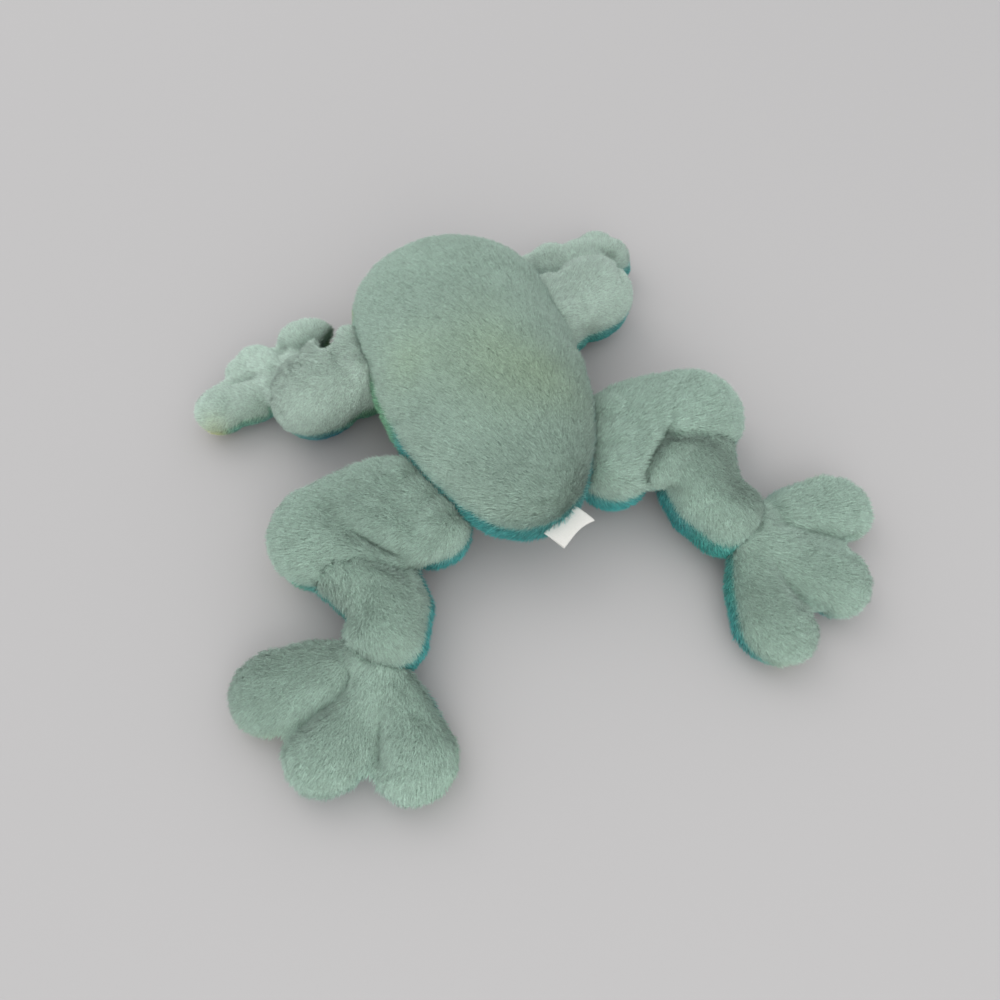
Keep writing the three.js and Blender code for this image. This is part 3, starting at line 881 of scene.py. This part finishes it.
def makeTuft():
    # one clump of strands, a unit long and wide, closed at its root
    tuft = bmesh.new()
    base = [tuft.verts.new((
        0.5 * math.cos(2 * math.pi * k / 3), 0.5 * math.sin(2 * math.pi * k / 3), -0.08
    )) for k in range(3)]
    tip = tuft.verts.new((0, 0, 1))
    tuft.verts.index_update()
    tuft.faces.new(base[::-1])
    for k in range(3):
        tuft.faces.new((base[k], base[(k + 1) % 3], tip))
    mesh = meshOf(tuft, "tuft")
    mesh.polygons.foreach_set("use_smooth", [True] * 4)
    mesh.attributes.new("tip", "FLOAT", "POINT").data.foreach_set("value", [0.0, 0.0, 0.0, 1.0])
    return linked("tuft", mesh)


def makePileTree():
    tree = bpy.data.node_groups.new("plushPile", "GeometryNodeTree")
    tree.is_modifier = True
    addSockets(tree, "INPUT", {
        "Geometry": "Geometry", "tuft": "Object", **{name: "Float" for name in pileSizes},
        "seed": "Int", "pale": "Material", "dyed": "Material"})
    addSockets(tree, "OUTPUT", {"Geometry": "Geometry"})
    given = addNode(tree, "NodeGroupInput").outputs

    def named(name, kind):
        found = addNode(tree, "GeometryNodeInputNamedAttribute", data_type=kind)
        found.inputs["Name"].default_value = name
        return found.outputs["Attribute"]

    def vectorMath(operation, first, second=None, scale=None):
        made = addNode(tree, "ShaderNodeVectorMath", {0: first}, operation=operation)
        if second is not None:
            tree.links.new(second, made.inputs[1])
        if scale is not None:
            tree.links.new(scale, made.inputs["Scale"])
        return made.outputs[0]

    facing = addNode(tree, "GeometryNodeInputNormal").outputs["Normal"]
    skin = addStore(tree, given["Geometry"], "rootNormal", facing)
    thick = addMath(tree, "MULTIPLY", given["density"], named("grows", "FLOAT"))
    roots = addNode(tree, "GeometryNodeDistributePointsOnFaces", {
        "Mesh": skin, "Density": thick, "Seed": given["seed"]})
    place = addNode(tree, "GeometryNodeInputPosition").outputs[0]
    clump = addNode(tree, "ShaderNodeTexNoise", {
        "Vector": place, "Scale": addMath(tree, "DIVIDE", 1.0, given["clumpSize"]), "Detail": 1.0})
    centred = addNode(tree, "ShaderNodeVectorMath", {
        0: clump.outputs["Color"], 1: (0.5, 0.5, 0.5)}, operation="SUBTRACT")
    loose = addNode(tree, "FunctionNodeRandomValue", {
        "Seed": given["seed"], 0: (-1, -1, -1), 1: (1, 1, 1)}, data_type="FLOAT_VECTOR")
    upward = vectorMath("SCALE", roots.outputs["Normal"], scale=given["rise"])
    lean = vectorMath("SCALE", centred.outputs[0], scale=given["clumpLean"])
    strayed = vectorMath("SCALE", loose.outputs[0], scale=given["scatter"])
    way = vectorMath(
        "ADD", vectorMath("ADD", upward, named("nap", "FLOAT_VECTOR")), vectorMath("ADD", lean, strayed))
    turn = addNode(tree, "FunctionNodeAlignRotationToVector", {"Vector": way}, axis="Z")
    lengthShare = addNode(tree, "FunctionNodeRandomValue", {
        "Seed": given["seed"], 2: pile["lengths"][0], 3: pile["lengths"][1]}, data_type="FLOAT")
    grown = addMath(tree, "MULTIPLY", given["length"], named("longShare", "FLOAT"))
    long = addMath(tree, "MULTIPLY", grown, lengthShare.outputs[1])
    size = addNode(tree, "ShaderNodeCombineXYZ", {"X": given["width"], "Y": given["width"], "Z": long})
    mapped = addStore(tree, roots.outputs["Points"], "rootMap", named("OFBake", "FLOAT_VECTOR"))
    rooted = addStore(tree, mapped, "rootPlace", place)
    luck = addNode(tree, "FunctionNodeRandomValue", {"Seed": given["seed"], 2: 0.0, 3: 1.0}, data_type="FLOAT")
    lucky = addStore(tree, rooted, "luck", luck.outputs[1], "FLOAT")
    tuftSource = addNode(tree, "GeometryNodeObjectInfo", {"Object": given["tuft"]})
    planted = addNode(tree, "GeometryNodeInstanceOnPoints", {
        "Points": lucky, "Instance": tuftSource.outputs["Geometry"],
        "Rotation": turn.outputs[0], "Scale": size.outputs[0]})
    real = addNode(tree, "GeometryNodeRealizeInstances", {"Geometry": planted.outputs[0]})
    fromRoot = vectorMath("SUBTRACT", place, named("rootPlace", "FLOAT_VECTOR"))
    nudge = (pile["mapNudge"], pile["mapNudge"], 0)
    small = addNode(tree, "ShaderNodeVectorMath", {0: fromRoot, 1: nudge}, operation="MULTIPLY")
    onMap = vectorMath("ADD", named("rootMap", "FLOAT_VECTOR"), small.outputs[0])
    remapped = addStore(tree, real.outputs[0], "OFBake", onMap, "FLOAT2", "CORNER")
    # painted shade deep in the pile, rising to a painted highlight at each tuft's tip, times each tuft's random
    # tone; both stronger on dyed tufts
    tipShade = addNode(tree, "ShaderNodeMapRange", {
        "Value": named("tip", "FLOAT"), 3: given["rootShade"], 4: given["tipShade"]})
    luckShade = addNode(tree, "ShaderNodeMapRange", {
        "Value": named("luck", "FLOAT"), 3: given["dull"], 4: given["bright"]})
    bothShades = addMath(tree, "MULTIPLY", tipShade.outputs[0], luckShade.outputs[0])
    contrast = addMath(tree, "MULTIPLY_ADD", named("dyed", "FLOAT"), given["dyedContrast"], 1.0)
    uneven = addMath(tree, "POWER", bothShades, contrast)
    lit = vectorMath("SCALE", named("tint", "FLOAT_COLOR"), scale=uneven)
    litColour = addStore(tree, remapped, "tint", lit, "FLOAT_COLOR")
    pale = addNode(tree, "GeometryNodeSetMaterial", {"Geometry": litColour, "Material": given["pale"]})
    isDyed = addNode(tree, "FunctionNodeCompare", {0: named("dyed", "FLOAT"), 1: 0.5}, operation="GREATER_THAN")
    dyedToo = addNode(tree, "GeometryNodeSetMaterial", {
        "Geometry": pale.outputs[0], "Selection": isDyed.outputs[0], "Material": given["dyed"]})
    joined = addNode(tree, "GeometryNodeJoinGeometry")
    tree.links.new(skin, joined.inputs[0])
    tree.links.new(dyedToo.outputs[0], joined.inputs[0])
    own = vectorMath("SCALE", facing, scale=given["roundness"])
    soft = vectorMath("NORMALIZE", vectorMath("ADD", own, named("rootNormal", "FLOAT_VECTOR")))
    shaded = addNode(tree, "GeometryNodeSetMeshNormal", {
        "Mesh": joined.outputs[0], "Custom Normal": soft}, mode="FREE", domain="POINT")
    result = addNode(tree, "NodeGroupOutput")
    tree.links.new(shaded.outputs[0], result.inputs[0])
    return tree


def runTree(piece, tree, values):
    # builds the tree's result into the piece, its inputs set by their identifiers
    grown = piece.modifiers.new(tree.name, "NODES")
    grown.node_group = tree
    for item in tree.interface.items_tree:
        if item.in_out == "INPUT" and item.name in values:
            grown[item.identifier] = values[item.name]
    applyModifiers(piece)


def growPile(piece, seed):
    values = {name: pile[name] for name in pileSizes}
    values["density"] *= 1
    runTree(piece, pileTree, {**values, "tuft": tuft, "seed": seed, "pale": paleMaterial, "dyed": dyedMaterial})
    mesh = piece.data
    for name in ("nap", "grows", "dyed", "longShare", "rootMap", "rootPlace", "rootNormal", "tip", "luck"):
        if name in mesh.attributes:
            mesh.attributes.remove(mesh.attributes[name])


# Pieces

print("studio")
makeStudio()
pileGroup = makePileGroup()
paleMaterial = makePlush("paleMintPlush", (0.86, 1.0, 0.93), 0.28)
dyedMaterial = makePlush("tieDyedPlush", (0.75, 0.97, 1.0), 0.2)
pileTree = makePileTree()
tuft = makeTuft()


def wayToward(direction):
    return lambda points: np.tile(np.array(direction, float), (len(points), 1))


def wayFrom(centre, ahead, pull):
    # outward from a point, as on a foot, whose pile runs to the tips of its toes
    def way(points):
        away = points - np.array(centre)
        away /= np.maximum(np.linalg.norm(away, axis=1), 1e-6)[:, None]
        return away + np.array(ahead) * pull
    return way


def stuffedNodes(segment):
    if f"{segment}_belly_panel" in nodes:
        return [f"{segment}_belly_panel", f"{segment}_back_panel", f"{segment}_filling"]
    return [segment, f"{segment}_filling"]


def finishSkin(piece, segment, seed):
    growPile(piece, seed)
    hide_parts(*stuffedNodes(segment))
    print(piece.name, len(piece.data.polygons), "faces")


limbLook = {
    "leg": {
        "segments": ["thigh", "calf", "foot"],
        "joints": ["hip", "knee", "ankle"],
        "fill": 0.6,
        "gusset": (0.03, 0.027, 0.0272),  # half sizes: outward, along the seam, upright
        "gussetStep": 0.019,
        "endShare": 0.76,
        "gussetOut": 0.01,
        "gussetHeight": 0.029,
        "dyedTop": 0.032,
        "rootBend": 0.03,
        "wayPull": 0.4,
        "wayBehind": 0.03,  # the foot's pile runs out from this far behind its ankle
    },
    "arm": {
        "segments": ["upper_arm", "hand"],
        "joints": ["shoulder", "elbow"],
        "fill": 0.55,
        "gusset": (0.032, 0.022, 0.0285),
        "gussetStep": 0.0115,
        "endShare": 0.84,
        "gussetOut": 0.002,
        "gussetHeight": 0.03,
        "dyedTop": 0.024,
        "rootBend": 0.014,
        "wayPull": 0.4,
    },
}


webLook = {
    "spread": 19.5,  # degrees either side of the middle toe
    "reach": 0.051,
    "half": (0.032, 0.0165, 0.0128),  # along, across, upright
    "height": 0.0148,
}
plumpLook = {  # places, half sizes and headings of what fills out each hand
    "right": [
        ((-0.1047, 0.15, 0.024), (0.0215, 0.015, 0.0165), -12),
        ((-0.1447, 0.145, 0.0185), (0.0165, 0.0135, 0.0145), 150),
        ((-0.157, 0.1152, 0.0165), (0.029, 0.0145, 0.015), 186),
        ((-0.126, 0.1241, 0.021), (0.02, 0.02, 0.018), 0),
    ],
    "left": [
        ((0.133, 0.154, 0.021), (0.019, 0.013, 0.015), -8),
        ((0.0905, 0.166, 0.019), (0.018, 0.0125, 0.014), 0),
        ((0.1101, 0.154, 0.022), (0.018, 0.016, 0.0175), 0),
    ],
}
hollowLook = {  # the same for the gaps between an arm's root and its hand
    "lean": 38,
    "right": [((-0.092, 0.13, 0.036), (0.0225, 0.0068, 0.03), 47)],
    "left": [((0.0795, 0.138, 0.044), (0.012, 0.0068, 0.02), -50)],
}


def makeWebs(side):
    # what fills a foot between its toes, up to the stitched channels
    centre, ahead = ankleOf(side)
    webs = []
    for sign in (-1, 1):
        way = Matrix.Rotation(math.radians(webLook["spread"] * sign), 3, "Z") @ ahead
        middle = Vector((centre.x, centre.y, webLook["height"])) + way * webLook["reach"]
        turn = Matrix.Rotation(math.atan2(way.y, way.x), 4, "Z")
        webs.append(Matrix.Translation(middle) @ turn @ Matrix.Diagonal((*webLook["half"], 1)))
    return webs


def makeRoots(look, hinge, axis):
    # the stuffing at a limb's root, a row of rounds along its seam
    outward = Vector((-axis.y, axis.x, 0)).normalized()
    turn = Matrix.Rotation(math.atan2(outward.y, outward.x), 4, "Z")
    rounds = []
    for along, share in ((-1, look["endShare"]), (0, 1.0), (1, look["endShare"])):
        middle = Vector((hinge.x, hinge.y, look["gussetHeight"])) + outward * look["gussetOut"] * share
        middle += axis.normalized() * along * look["gussetStep"]
        half = [size * share for size in look["gusset"][:2]] + [look["gusset"][2]]
        rounds.append(Matrix.Translation(middle) @ turn @ Matrix.Diagonal((*half, 1)))
    return rounds


def makeLimb(side, kind, seed):
    look = limbLook[kind]
    segments = [f"{side}_{segment}" for segment in look["segments"]]
    hinges = [Vector(joints[f"{side}_{joint}"]["pos_m"]) for joint in look["joints"]]
    axis = Vector(joints[f"{side}_{look['joints'][0]}"]["axis"])
    roots = makeRoots(look, hinges[0], axis)
    whole = mergedSolid([nodeName for segment in segments for nodeName in stuffedNodes(segment)])
    whole = BVHTree.FromBMesh(whole)
    lines = foldLines(f"{side}_{kind}", whole)
    ends = makeWebs(side) if kind == "leg" else ellipsoids(plumpLook[side])
    hollows = ellipsoids(hollowLook[side], hollowLook["lean"]) if kind == "arm" else []
    allNodes = [nodeName for segment in segments for nodeName in stuffedNodes(segment)]
    swell = swollen(f"{side}_{kind}_bag", allNodes, roots + ends)
    forms, held = [], []
    for segment in segments:
        held = held + stuffedNodes(segment)
        fillers = roots + (ends if segment == segments[-1] else [])
        own = foldLines(segment, whole) if segment in folds else []
        forms.append(softForm(f"{segment}_plush", held, fillers, lines + own, swell=swell, hollows=hollows))
    solids = [solidOf(made) for made in forms]
    for k in range(len(segments) - 1, 0, -1):
        cutBy(forms[k], forms[k - 1], form["foldRoom"])
    cutBy(forms[0], bodySkin, form["foldRoom"])
    for k, (piece, segment) in enumerate(zip(forms, segments)):
        if k + 1 < len(hinges):
            ahead = (hinges[k + 1] - hinges[k]).normalized()
            way = wayToward(ahead)
        elif kind == "leg":
            centre, ahead = ankleOf(side)
            way = wayFrom(centre - ahead * look["wayBehind"], ahead, look["wayPull"])
        else:
            low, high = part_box(f"{segment}_belly_panel")
            ahead = ((low + high) / 2 - hinges[k]).normalized()
            way = wayFrom(hinges[k], ahead, look["wayPull"])
        dressSkin(
            piece, segment, way, solids[k - 1] if k else bodySolid,
            dyedTop=look["dyedTop"])
        finishSkin(piece, segment, seed + k)
        if k == 0:
            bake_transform(piece)
        else:
            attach(piece, segment)


print("body")
bodySkin = softForm(
    "body_plush", stuffedNodes("body"), lines=foldLines("body", surfaceTree(stuffedNodes("body"))),
    swell=swollen("body_bag", stuffedNodes("body")))
bodySolid = solidOf(bodySkin)

for side, seed in (("right", 20), ("left", 40)):
    print(side, "leg")
    makeLimb(side, "leg", seed)
    print(side, "arm")
    makeLimb(side, "arm", seed + 10)

# Eyes on the head's back: a plush mound, and a smooth domed eye seated in it

eyeLook = {
    "spacing": 0.062,
    "middle": (-0.00355, 0.15035, 0.0215),  # of the two mounds, between them
    "outward": 30,  # degrees from straight ahead
    "downward": 25,
    "core": (0.0165, 0.0165, 0.0185),  # half sizes of the mound's inside, its washer's room filled
    "sunk": 0.0006,  # the mound's skin lies this far inside its solid
    "fill": 0.7,
    "width": 0.019,
    "dome": 0.007,
    "seat": 0.0178,
    "rim": 0.0007,
    "shankWidth": 0.0046,
    "shankEnd": 0.0055,
    "turns": 56,
    "bareRadius": 0.0092,
}


def eyeFrame(side):
    sign = 1 if side == "left" else -1
    heading = math.radians(90 - sign * eyeLook["outward"])
    level = math.cos(math.radians(eyeLook["downward"]))
    down = math.sin(math.radians(eyeLook["downward"]))
    way = Vector((math.cos(heading) * level, math.sin(heading) * level, -down))
    middle = Vector(eyeLook["middle"]) + Vector((sign * eyeLook["spacing"] / 2, 0, 0))
    return middle, way


def makeMound(side, seed):
    middle, way = eyeFrame(side)
    core = Matrix.Translation(middle) @ Matrix.Diagonal((*eyeLook["core"], 1))
    mound = softForm(
        f"{side}_eye_mound_plush", stuffedNodes(f"{side}_eye_mound"), fillers=[core], under=eyeLook["sunk"])
    cutBy(mound, bodySkin, form["foldRoom"], rounded=False)

    def underEye(points):
        away = points - np.array(middle)
        reach = away @ np.array(way)
        off = np.linalg.norm(away - reach[:, None] * np.array(way), axis=1)
        return (reach > 0) & (off < eyeLook["bareRadius"])

    dressSkin(mound, f"{side}_eye_mound", wayToward((0, -0.4, -0.9)), bodySolid, underEye)
    finishSkin(mound, f"{side}_eye_mound", seed)
    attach(mound, "body")


def makeEye(side):
    middle, way = eyeFrame(side)
    radius, rim, seat = eyeLook["width"] / 2, eyeLook["rim"], eyeLook["seat"]
    profile = [(0.0, eyeLook["shankEnd"]), (eyeLook["shankWidth"] / 2, eyeLook["shankEnd"])]
    profile += [(eyeLook["shankWidth"] / 2, seat), (radius - rim, seat)]
    profile += [(radius - rim + rim * math.sin(t), seat + rim - rim * math.cos(t)) for t in (0.5, 1.05, 1.57)]
    domeFrom, steps = seat + rim, 12
    for k in range(1, steps + 1):
        turn = math.pi / 2 * k / steps
        profile.append((radius * math.cos(turn), domeFrom + (eyeLook["dome"] - rim) * math.sin(turn)))
    solid = bmesh.new()
    rings = []
    for across, reach in profile:
        if across < 1e-6:
            rings.append([solid.verts.new((0, 0, reach))])
        else:
            rings.append([
                solid.verts.new((
                    across * math.cos(2 * math.pi * k / eyeLook["turns"]),
                    across * math.sin(2 * math.pi * k / eyeLook["turns"]),
                    reach,
                )) for k in range(eyeLook["turns"])
            ])
    for inner, outer in zip(rings, rings[1:]):
        for k in range(eyeLook["turns"]):
            after = (k + 1) % eyeLook["turns"]
            if len(inner) == 1:
                solid.faces.new((inner[0], outer[after], outer[k]))
            elif len(outer) == 1:
                solid.faces.new((inner[k], inner[after], outer[0]))
            else:
                solid.faces.new((inner[k], inner[after], outer[after], outer[k]))
    bmesh.ops.recalc_face_normals(solid, faces=solid.faces)
    solid.transform(Matrix.Translation(middle) @ way.to_track_quat("Z", "Y").to_matrix().to_4x4())
    mesh = meshOf(solid, f"{side}_domed_eye")
    mesh.shade_smooth()
    mesh.set_sharp_from_angle(angle=math.radians(50))
    mesh.materials.append(eyeMaterial)
    eye = linked(mesh.name, mesh)
    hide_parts(f"{side}_eye")
    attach(eye, "body")
    washer = nodes[f"{side}_eye_washer"]
    washer.data.materials.clear()
    washer.data.materials.append(washerMaterial)


# Face: a sewn mouth line across the front of the head, and two nostrils above it

faceLook = {
    "centre": (-0.00355, 0.118, 0.0375),
    "mouthHalfTurn": 52,  # degrees either side of straight ahead
    "mouthRise": 0.004,  # how far its ends turn up towards the eyes
    "nostrilTurn": 9,
    "nostrilAbove": 0.013,
    "nostrilHalfTurn": 2.6,
    "mouthSteps": 24,  # either side
    "stitchLength": 0.0031,
    "stitchWidth": 0.0011,
    "stitchGap": 0.00272,
    "proud": 0.0016,
}


def onHead(turn, above):
    start = Vector(faceLook["centre"]) - Vector((0, 0, above))
    way = Vector((math.sin(turn), math.cos(turn), 0))
    hit, normal, _, _ = bodySolid.ray_cast(start, way)
    return hit + normal * faceLook["proud"]


def makeStitchTree():
    # stitches laid end to end along a line
    tree = bpy.data.node_groups.new("sewnStitches", "GeometryNodeTree")
    tree.is_modifier = True
    addSockets(tree, "INPUT", {
        "Geometry": "Geometry", "Stitch Length": "Float", "Stitch Width": "Float", "Stitch Gap": "Float",
        "Thread": "Material"})
    addSockets(tree, "OUTPUT", {"Geometry": "Geometry"})
    given = addNode(tree, "NodeGroupInput").outputs
    path = addNode(tree, "GeometryNodeMeshToCurve", {"Mesh": given["Geometry"]})
    spots = addNode(tree, "GeometryNodeCurveToPoints", {
        "Curve": path.outputs[0], "Length": given["Stitch Gap"]}, mode="LENGTH")
    thread = addNode(tree, "GeometryNodeMeshIcoSphere", {"Radius": 0.5, "Subdivisions": 2})
    turn = addNode(tree, "FunctionNodeAlignRotationToVector", {"Vector": spots.outputs["Tangent"]}, axis="Z")
    size = addNode(tree, "ShaderNodeCombineXYZ", {
        "X": given["Stitch Width"], "Y": given["Stitch Width"], "Z": given["Stitch Length"]})
    laid = addNode(tree, "GeometryNodeInstanceOnPoints", {
        "Points": spots.outputs["Points"], "Instance": thread.outputs["Mesh"],
        "Rotation": turn.outputs[0], "Scale": size.outputs[0]})
    real = addNode(tree, "GeometryNodeRealizeInstances", {"Geometry": laid.outputs[0]})
    smooth = addNode(tree, "GeometryNodeSetShadeSmooth", {"Geometry": real.outputs[0]})
    dressed = addNode(tree, "GeometryNodeSetMaterial", {
        "Geometry": smooth.outputs[0], "Material": given["Thread"]})
    result = addNode(tree, "NodeGroupOutput")
    tree.links.new(dressed.outputs[0], result.inputs[0])
    return tree


def makeFace():
    half = math.radians(faceLook["mouthHalfTurn"])
    mouth = []
    steps = faceLook["mouthSteps"]
    for k in range(2 * steps + 1):
        turn = half * (k / steps - 1)
        mouth.append(onHead(turn, faceLook["mouthRise"] * abs(turn / half) ** 3))
    lines = [mouth]
    for sign in (-1, 1):
        middle = math.radians(faceLook["nostrilTurn"]) * sign
        across = math.radians(faceLook["nostrilHalfTurn"])
        lines.append([onHead(middle + across * t, faceLook["nostrilAbove"]) for t in (-1, 0, 1)])
    points, edges = [], []
    for line in lines:
        edges += [(len(points) + k, len(points) + k + 1) for k in range(len(line) - 1)]
        points += line
    mesh = bpy.data.meshes.new("embroidered_face")
    mesh.from_pydata(points, edges, [])
    face = linked("embroidered_face", mesh)
    runTree(face, stitchTree, {
        "Stitch Length": faceLook["stitchLength"], "Stitch Width": faceLook["stitchWidth"],
        "Stitch Gap": faceLook["stitchGap"], "Thread": threadMaterial})
    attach(face, "body")


# Care label: one strip of bare satin tape, folded and caught in the rump seam

labelLook = {
    "root": (0.00845, -0.05957, 0.0462),
    "heading": -57,
    "width": 0.027,
    "reach": 0.0112,
    "droop": 0.001,
    "tuckedIn": 0.003,  # length of tape inside the seam
    "lowerPast": 0.0055,  # how much further out the lower leaf reaches at one corner
    "foldRadius": 0.0009,
    "thickness": 0.00035,
    "cup": 0.0005,
    "rows": 26,
    "columns": 30,
}


def makeLabel():
    look = labelLook
    radius = look["foldRadius"]
    solid = bmesh.new()
    grid = []
    for i in range(look["columns"] + 1):
        across = i / look["columns"] - 0.5
        reachHere = look["reach"] + look["lowerPast"] * max(0.0, across + 0.1) ** 2 * 2
        # out along the upper leaf, round the fold, and back under it
        path = []
        for k in range(look["rows"] + 1):
            path.append((-look["tuckedIn"] + (reachHere + look["tuckedIn"]) * k / look["rows"], radius))
        for k in range(1, 8):
            turn = math.pi * k / 8
            path.append((reachHere + radius * math.sin(turn), radius * math.cos(turn)))
        for k in range(look["rows"] + 1):
            path.append((reachHere - (reachHere + look["tuckedIn"]) * k / look["rows"], -radius))
        column = []
        for along, height in path:
            outside = max(along, 0.0) / look["reach"]
            apart = 0.35 + 0.65 * min(outside, 1.0) + 0.9 * min(outside, 1.0) * max(0.0, across) * (height < 0)
            drop = look["droop"] * outside ** 2 + look["cup"] * (across * 2) ** 2 * outside
            column.append(solid.verts.new((along, across * look["width"], height * apart - drop)))
        grid.append(column)
    for near, far in zip(grid, grid[1:]):
        for k in range(len(near) - 1):
            solid.faces.new((near[k], near[k + 1], far[k + 1], far[k]))
    bmesh.ops.recalc_face_normals(solid, faces=solid.faces)
    turned = Matrix.Rotation(math.radians(look["heading"]), 4, "Z")
    solid.transform(Matrix.Translation(look["root"]) @ turned)
    mesh = meshOf(solid, "folded_label_tape")
    mesh.shade_smooth()
    mesh.materials.append(tapeMaterial)
    label = linked(mesh.name, mesh)
    wall = label.modifiers.new("tape", "SOLIDIFY")
    wall.thickness = look["thickness"]
    wall.offset = 0
    applyModifiers(label)
    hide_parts("care_label")
    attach(label, "body")


def makeGrainGroup():
    # fine uneven grain, as on moulded plastic, thread and tape
    tree = bpy.data.node_groups.new("fineGrain", "ShaderNodeTree")
    addSockets(tree, "INPUT", {"Grain Size": "Float", "Middle": "Float", "Spread": "Float"})
    addSockets(tree, "OUTPUT", {"Grain": "Float", "Value": "Float"})
    given = addNode(tree, "NodeGroupInput")
    place = addNode(tree, "ShaderNodeTexCoord").outputs["Object"]
    scale = addMath(tree, "DIVIDE", 1.0, given.outputs["Grain Size"])
    grain = addNode(tree, "ShaderNodeTexNoise", {"Vector": place, "Scale": scale, "Detail": 4.0})
    centred = addMath(tree, "SUBTRACT", grain.outputs[0], 0.5)
    value = addMath(tree, "MULTIPLY_ADD", centred, given.outputs["Spread"], given.outputs["Middle"])
    result = addNode(tree, "NodeGroupOutput")
    tree.links.new(grain.outputs[0], result.inputs["Grain"])
    tree.links.new(value, result.inputs["Value"])
    return tree


def makeGrained(name, colour, grainSize, roughness, spread, bumpDistance):
    # a plain material whose gloss and surface vary with the fine grain
    material, tree, shader = newMaterial(name)
    grain = addNode(tree, "ShaderNodeGroup", {
        "Grain Size": grainSize, "Middle": roughness, "Spread": spread}, node_tree=grainGroup)
    tone = addNode(tree, "ShaderNodeMapRange", {"Value": grain.outputs["Grain"], 3: 0.9, 4: 1.08})
    tinted = addNode(tree, "ShaderNodeVectorMath", {0: colour, 1: tone.outputs[0]}, operation="MULTIPLY")
    bump = addNode(tree, "ShaderNodeBump", {
        "Height": grain.outputs["Grain"], "Distance": bumpDistance, "Strength": 0.5})
    tree.links.new(tinted.outputs[0], shader.inputs["Base Color"])
    tree.links.new(grain.outputs["Value"], shader.inputs["Roughness"])
    tree.links.new(bump.outputs[0], shader.inputs["Normal"])
    return material


def makeTape():
    # satin: fine ribs across the tape, glossy along them
    material = makeGrained("bareSatinTape", (0.72, 0.71, 0.665), 0.0009, 0.42, 0.25, 0.00005)
    tree = material.node_tree
    shader = tree.nodes["Principled BSDF"]
    place = addNode(tree, "ShaderNodeTexCoord").outputs["Object"]
    turned = addNode(tree, "ShaderNodeMapping", {"Vector": place})
    turned.inputs["Rotation"].default_value = (0, 0, -math.radians(labelLook["heading"]))
    ribs = addNode(tree, "ShaderNodeTexWave", {"Vector": turned.outputs[0], "Scale": 650.0, "Distortion": 0.4})
    ribs.wave_type = "BANDS"
    ribs.bands_direction = "X"
    bump = addNode(tree, "ShaderNodeBump", {
        "Height": ribs.outputs["Fac"], "Distance": 0.00008, "Strength": 0.6,
        "Normal": shader.inputs["Normal"].links[0].from_socket})
    tree.links.new(bump.outputs[0], shader.inputs["Normal"])
    shader.inputs["Sheen Weight"].default_value = 0.3
    return material


grainGroup = makeGrainGroup()
eyeMaterial = makeGrained("glossyBlackPlastic", (0.014, 0.011, 0.009), 0.004, 0.1, 0.06, 0.00002)
eyeMaterial.node_tree.nodes["Principled BSDF"].inputs["Coat Weight"].default_value = 0.6
washerMaterial = makeGrained("offWhitePlastic", (0.78, 0.77, 0.71), 0.002, 0.5, 0.2, 0.00008)
threadMaterial = makeGrained("blackThread", (0.03, 0.026, 0.022), 0.0004, 0.62, 0.3, 0.00018)
tapeMaterial = makeTape()
stitchTree = makeStitchTree()

for side, seed in (("right", 60), ("left", 70)):
    print(side, "eye")
    makeMound(side, seed)
    makeEye(side)
print("face")
makeFace()
print("label")
makeLabel()

print("body pile")
dressSkin(bodySkin, "body", wayToward((-0.72, 0.62, 0.0)))
finishSkin(bodySkin, "body", 10)
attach(bodySkin, "body")

bpy.data.objects.remove(tuft)
shown = sum(
    len(piece.data.loop_triangles) for piece in scene.objects if piece.type == "MESH" and not piece.hide_render)
print("triangles", shown)
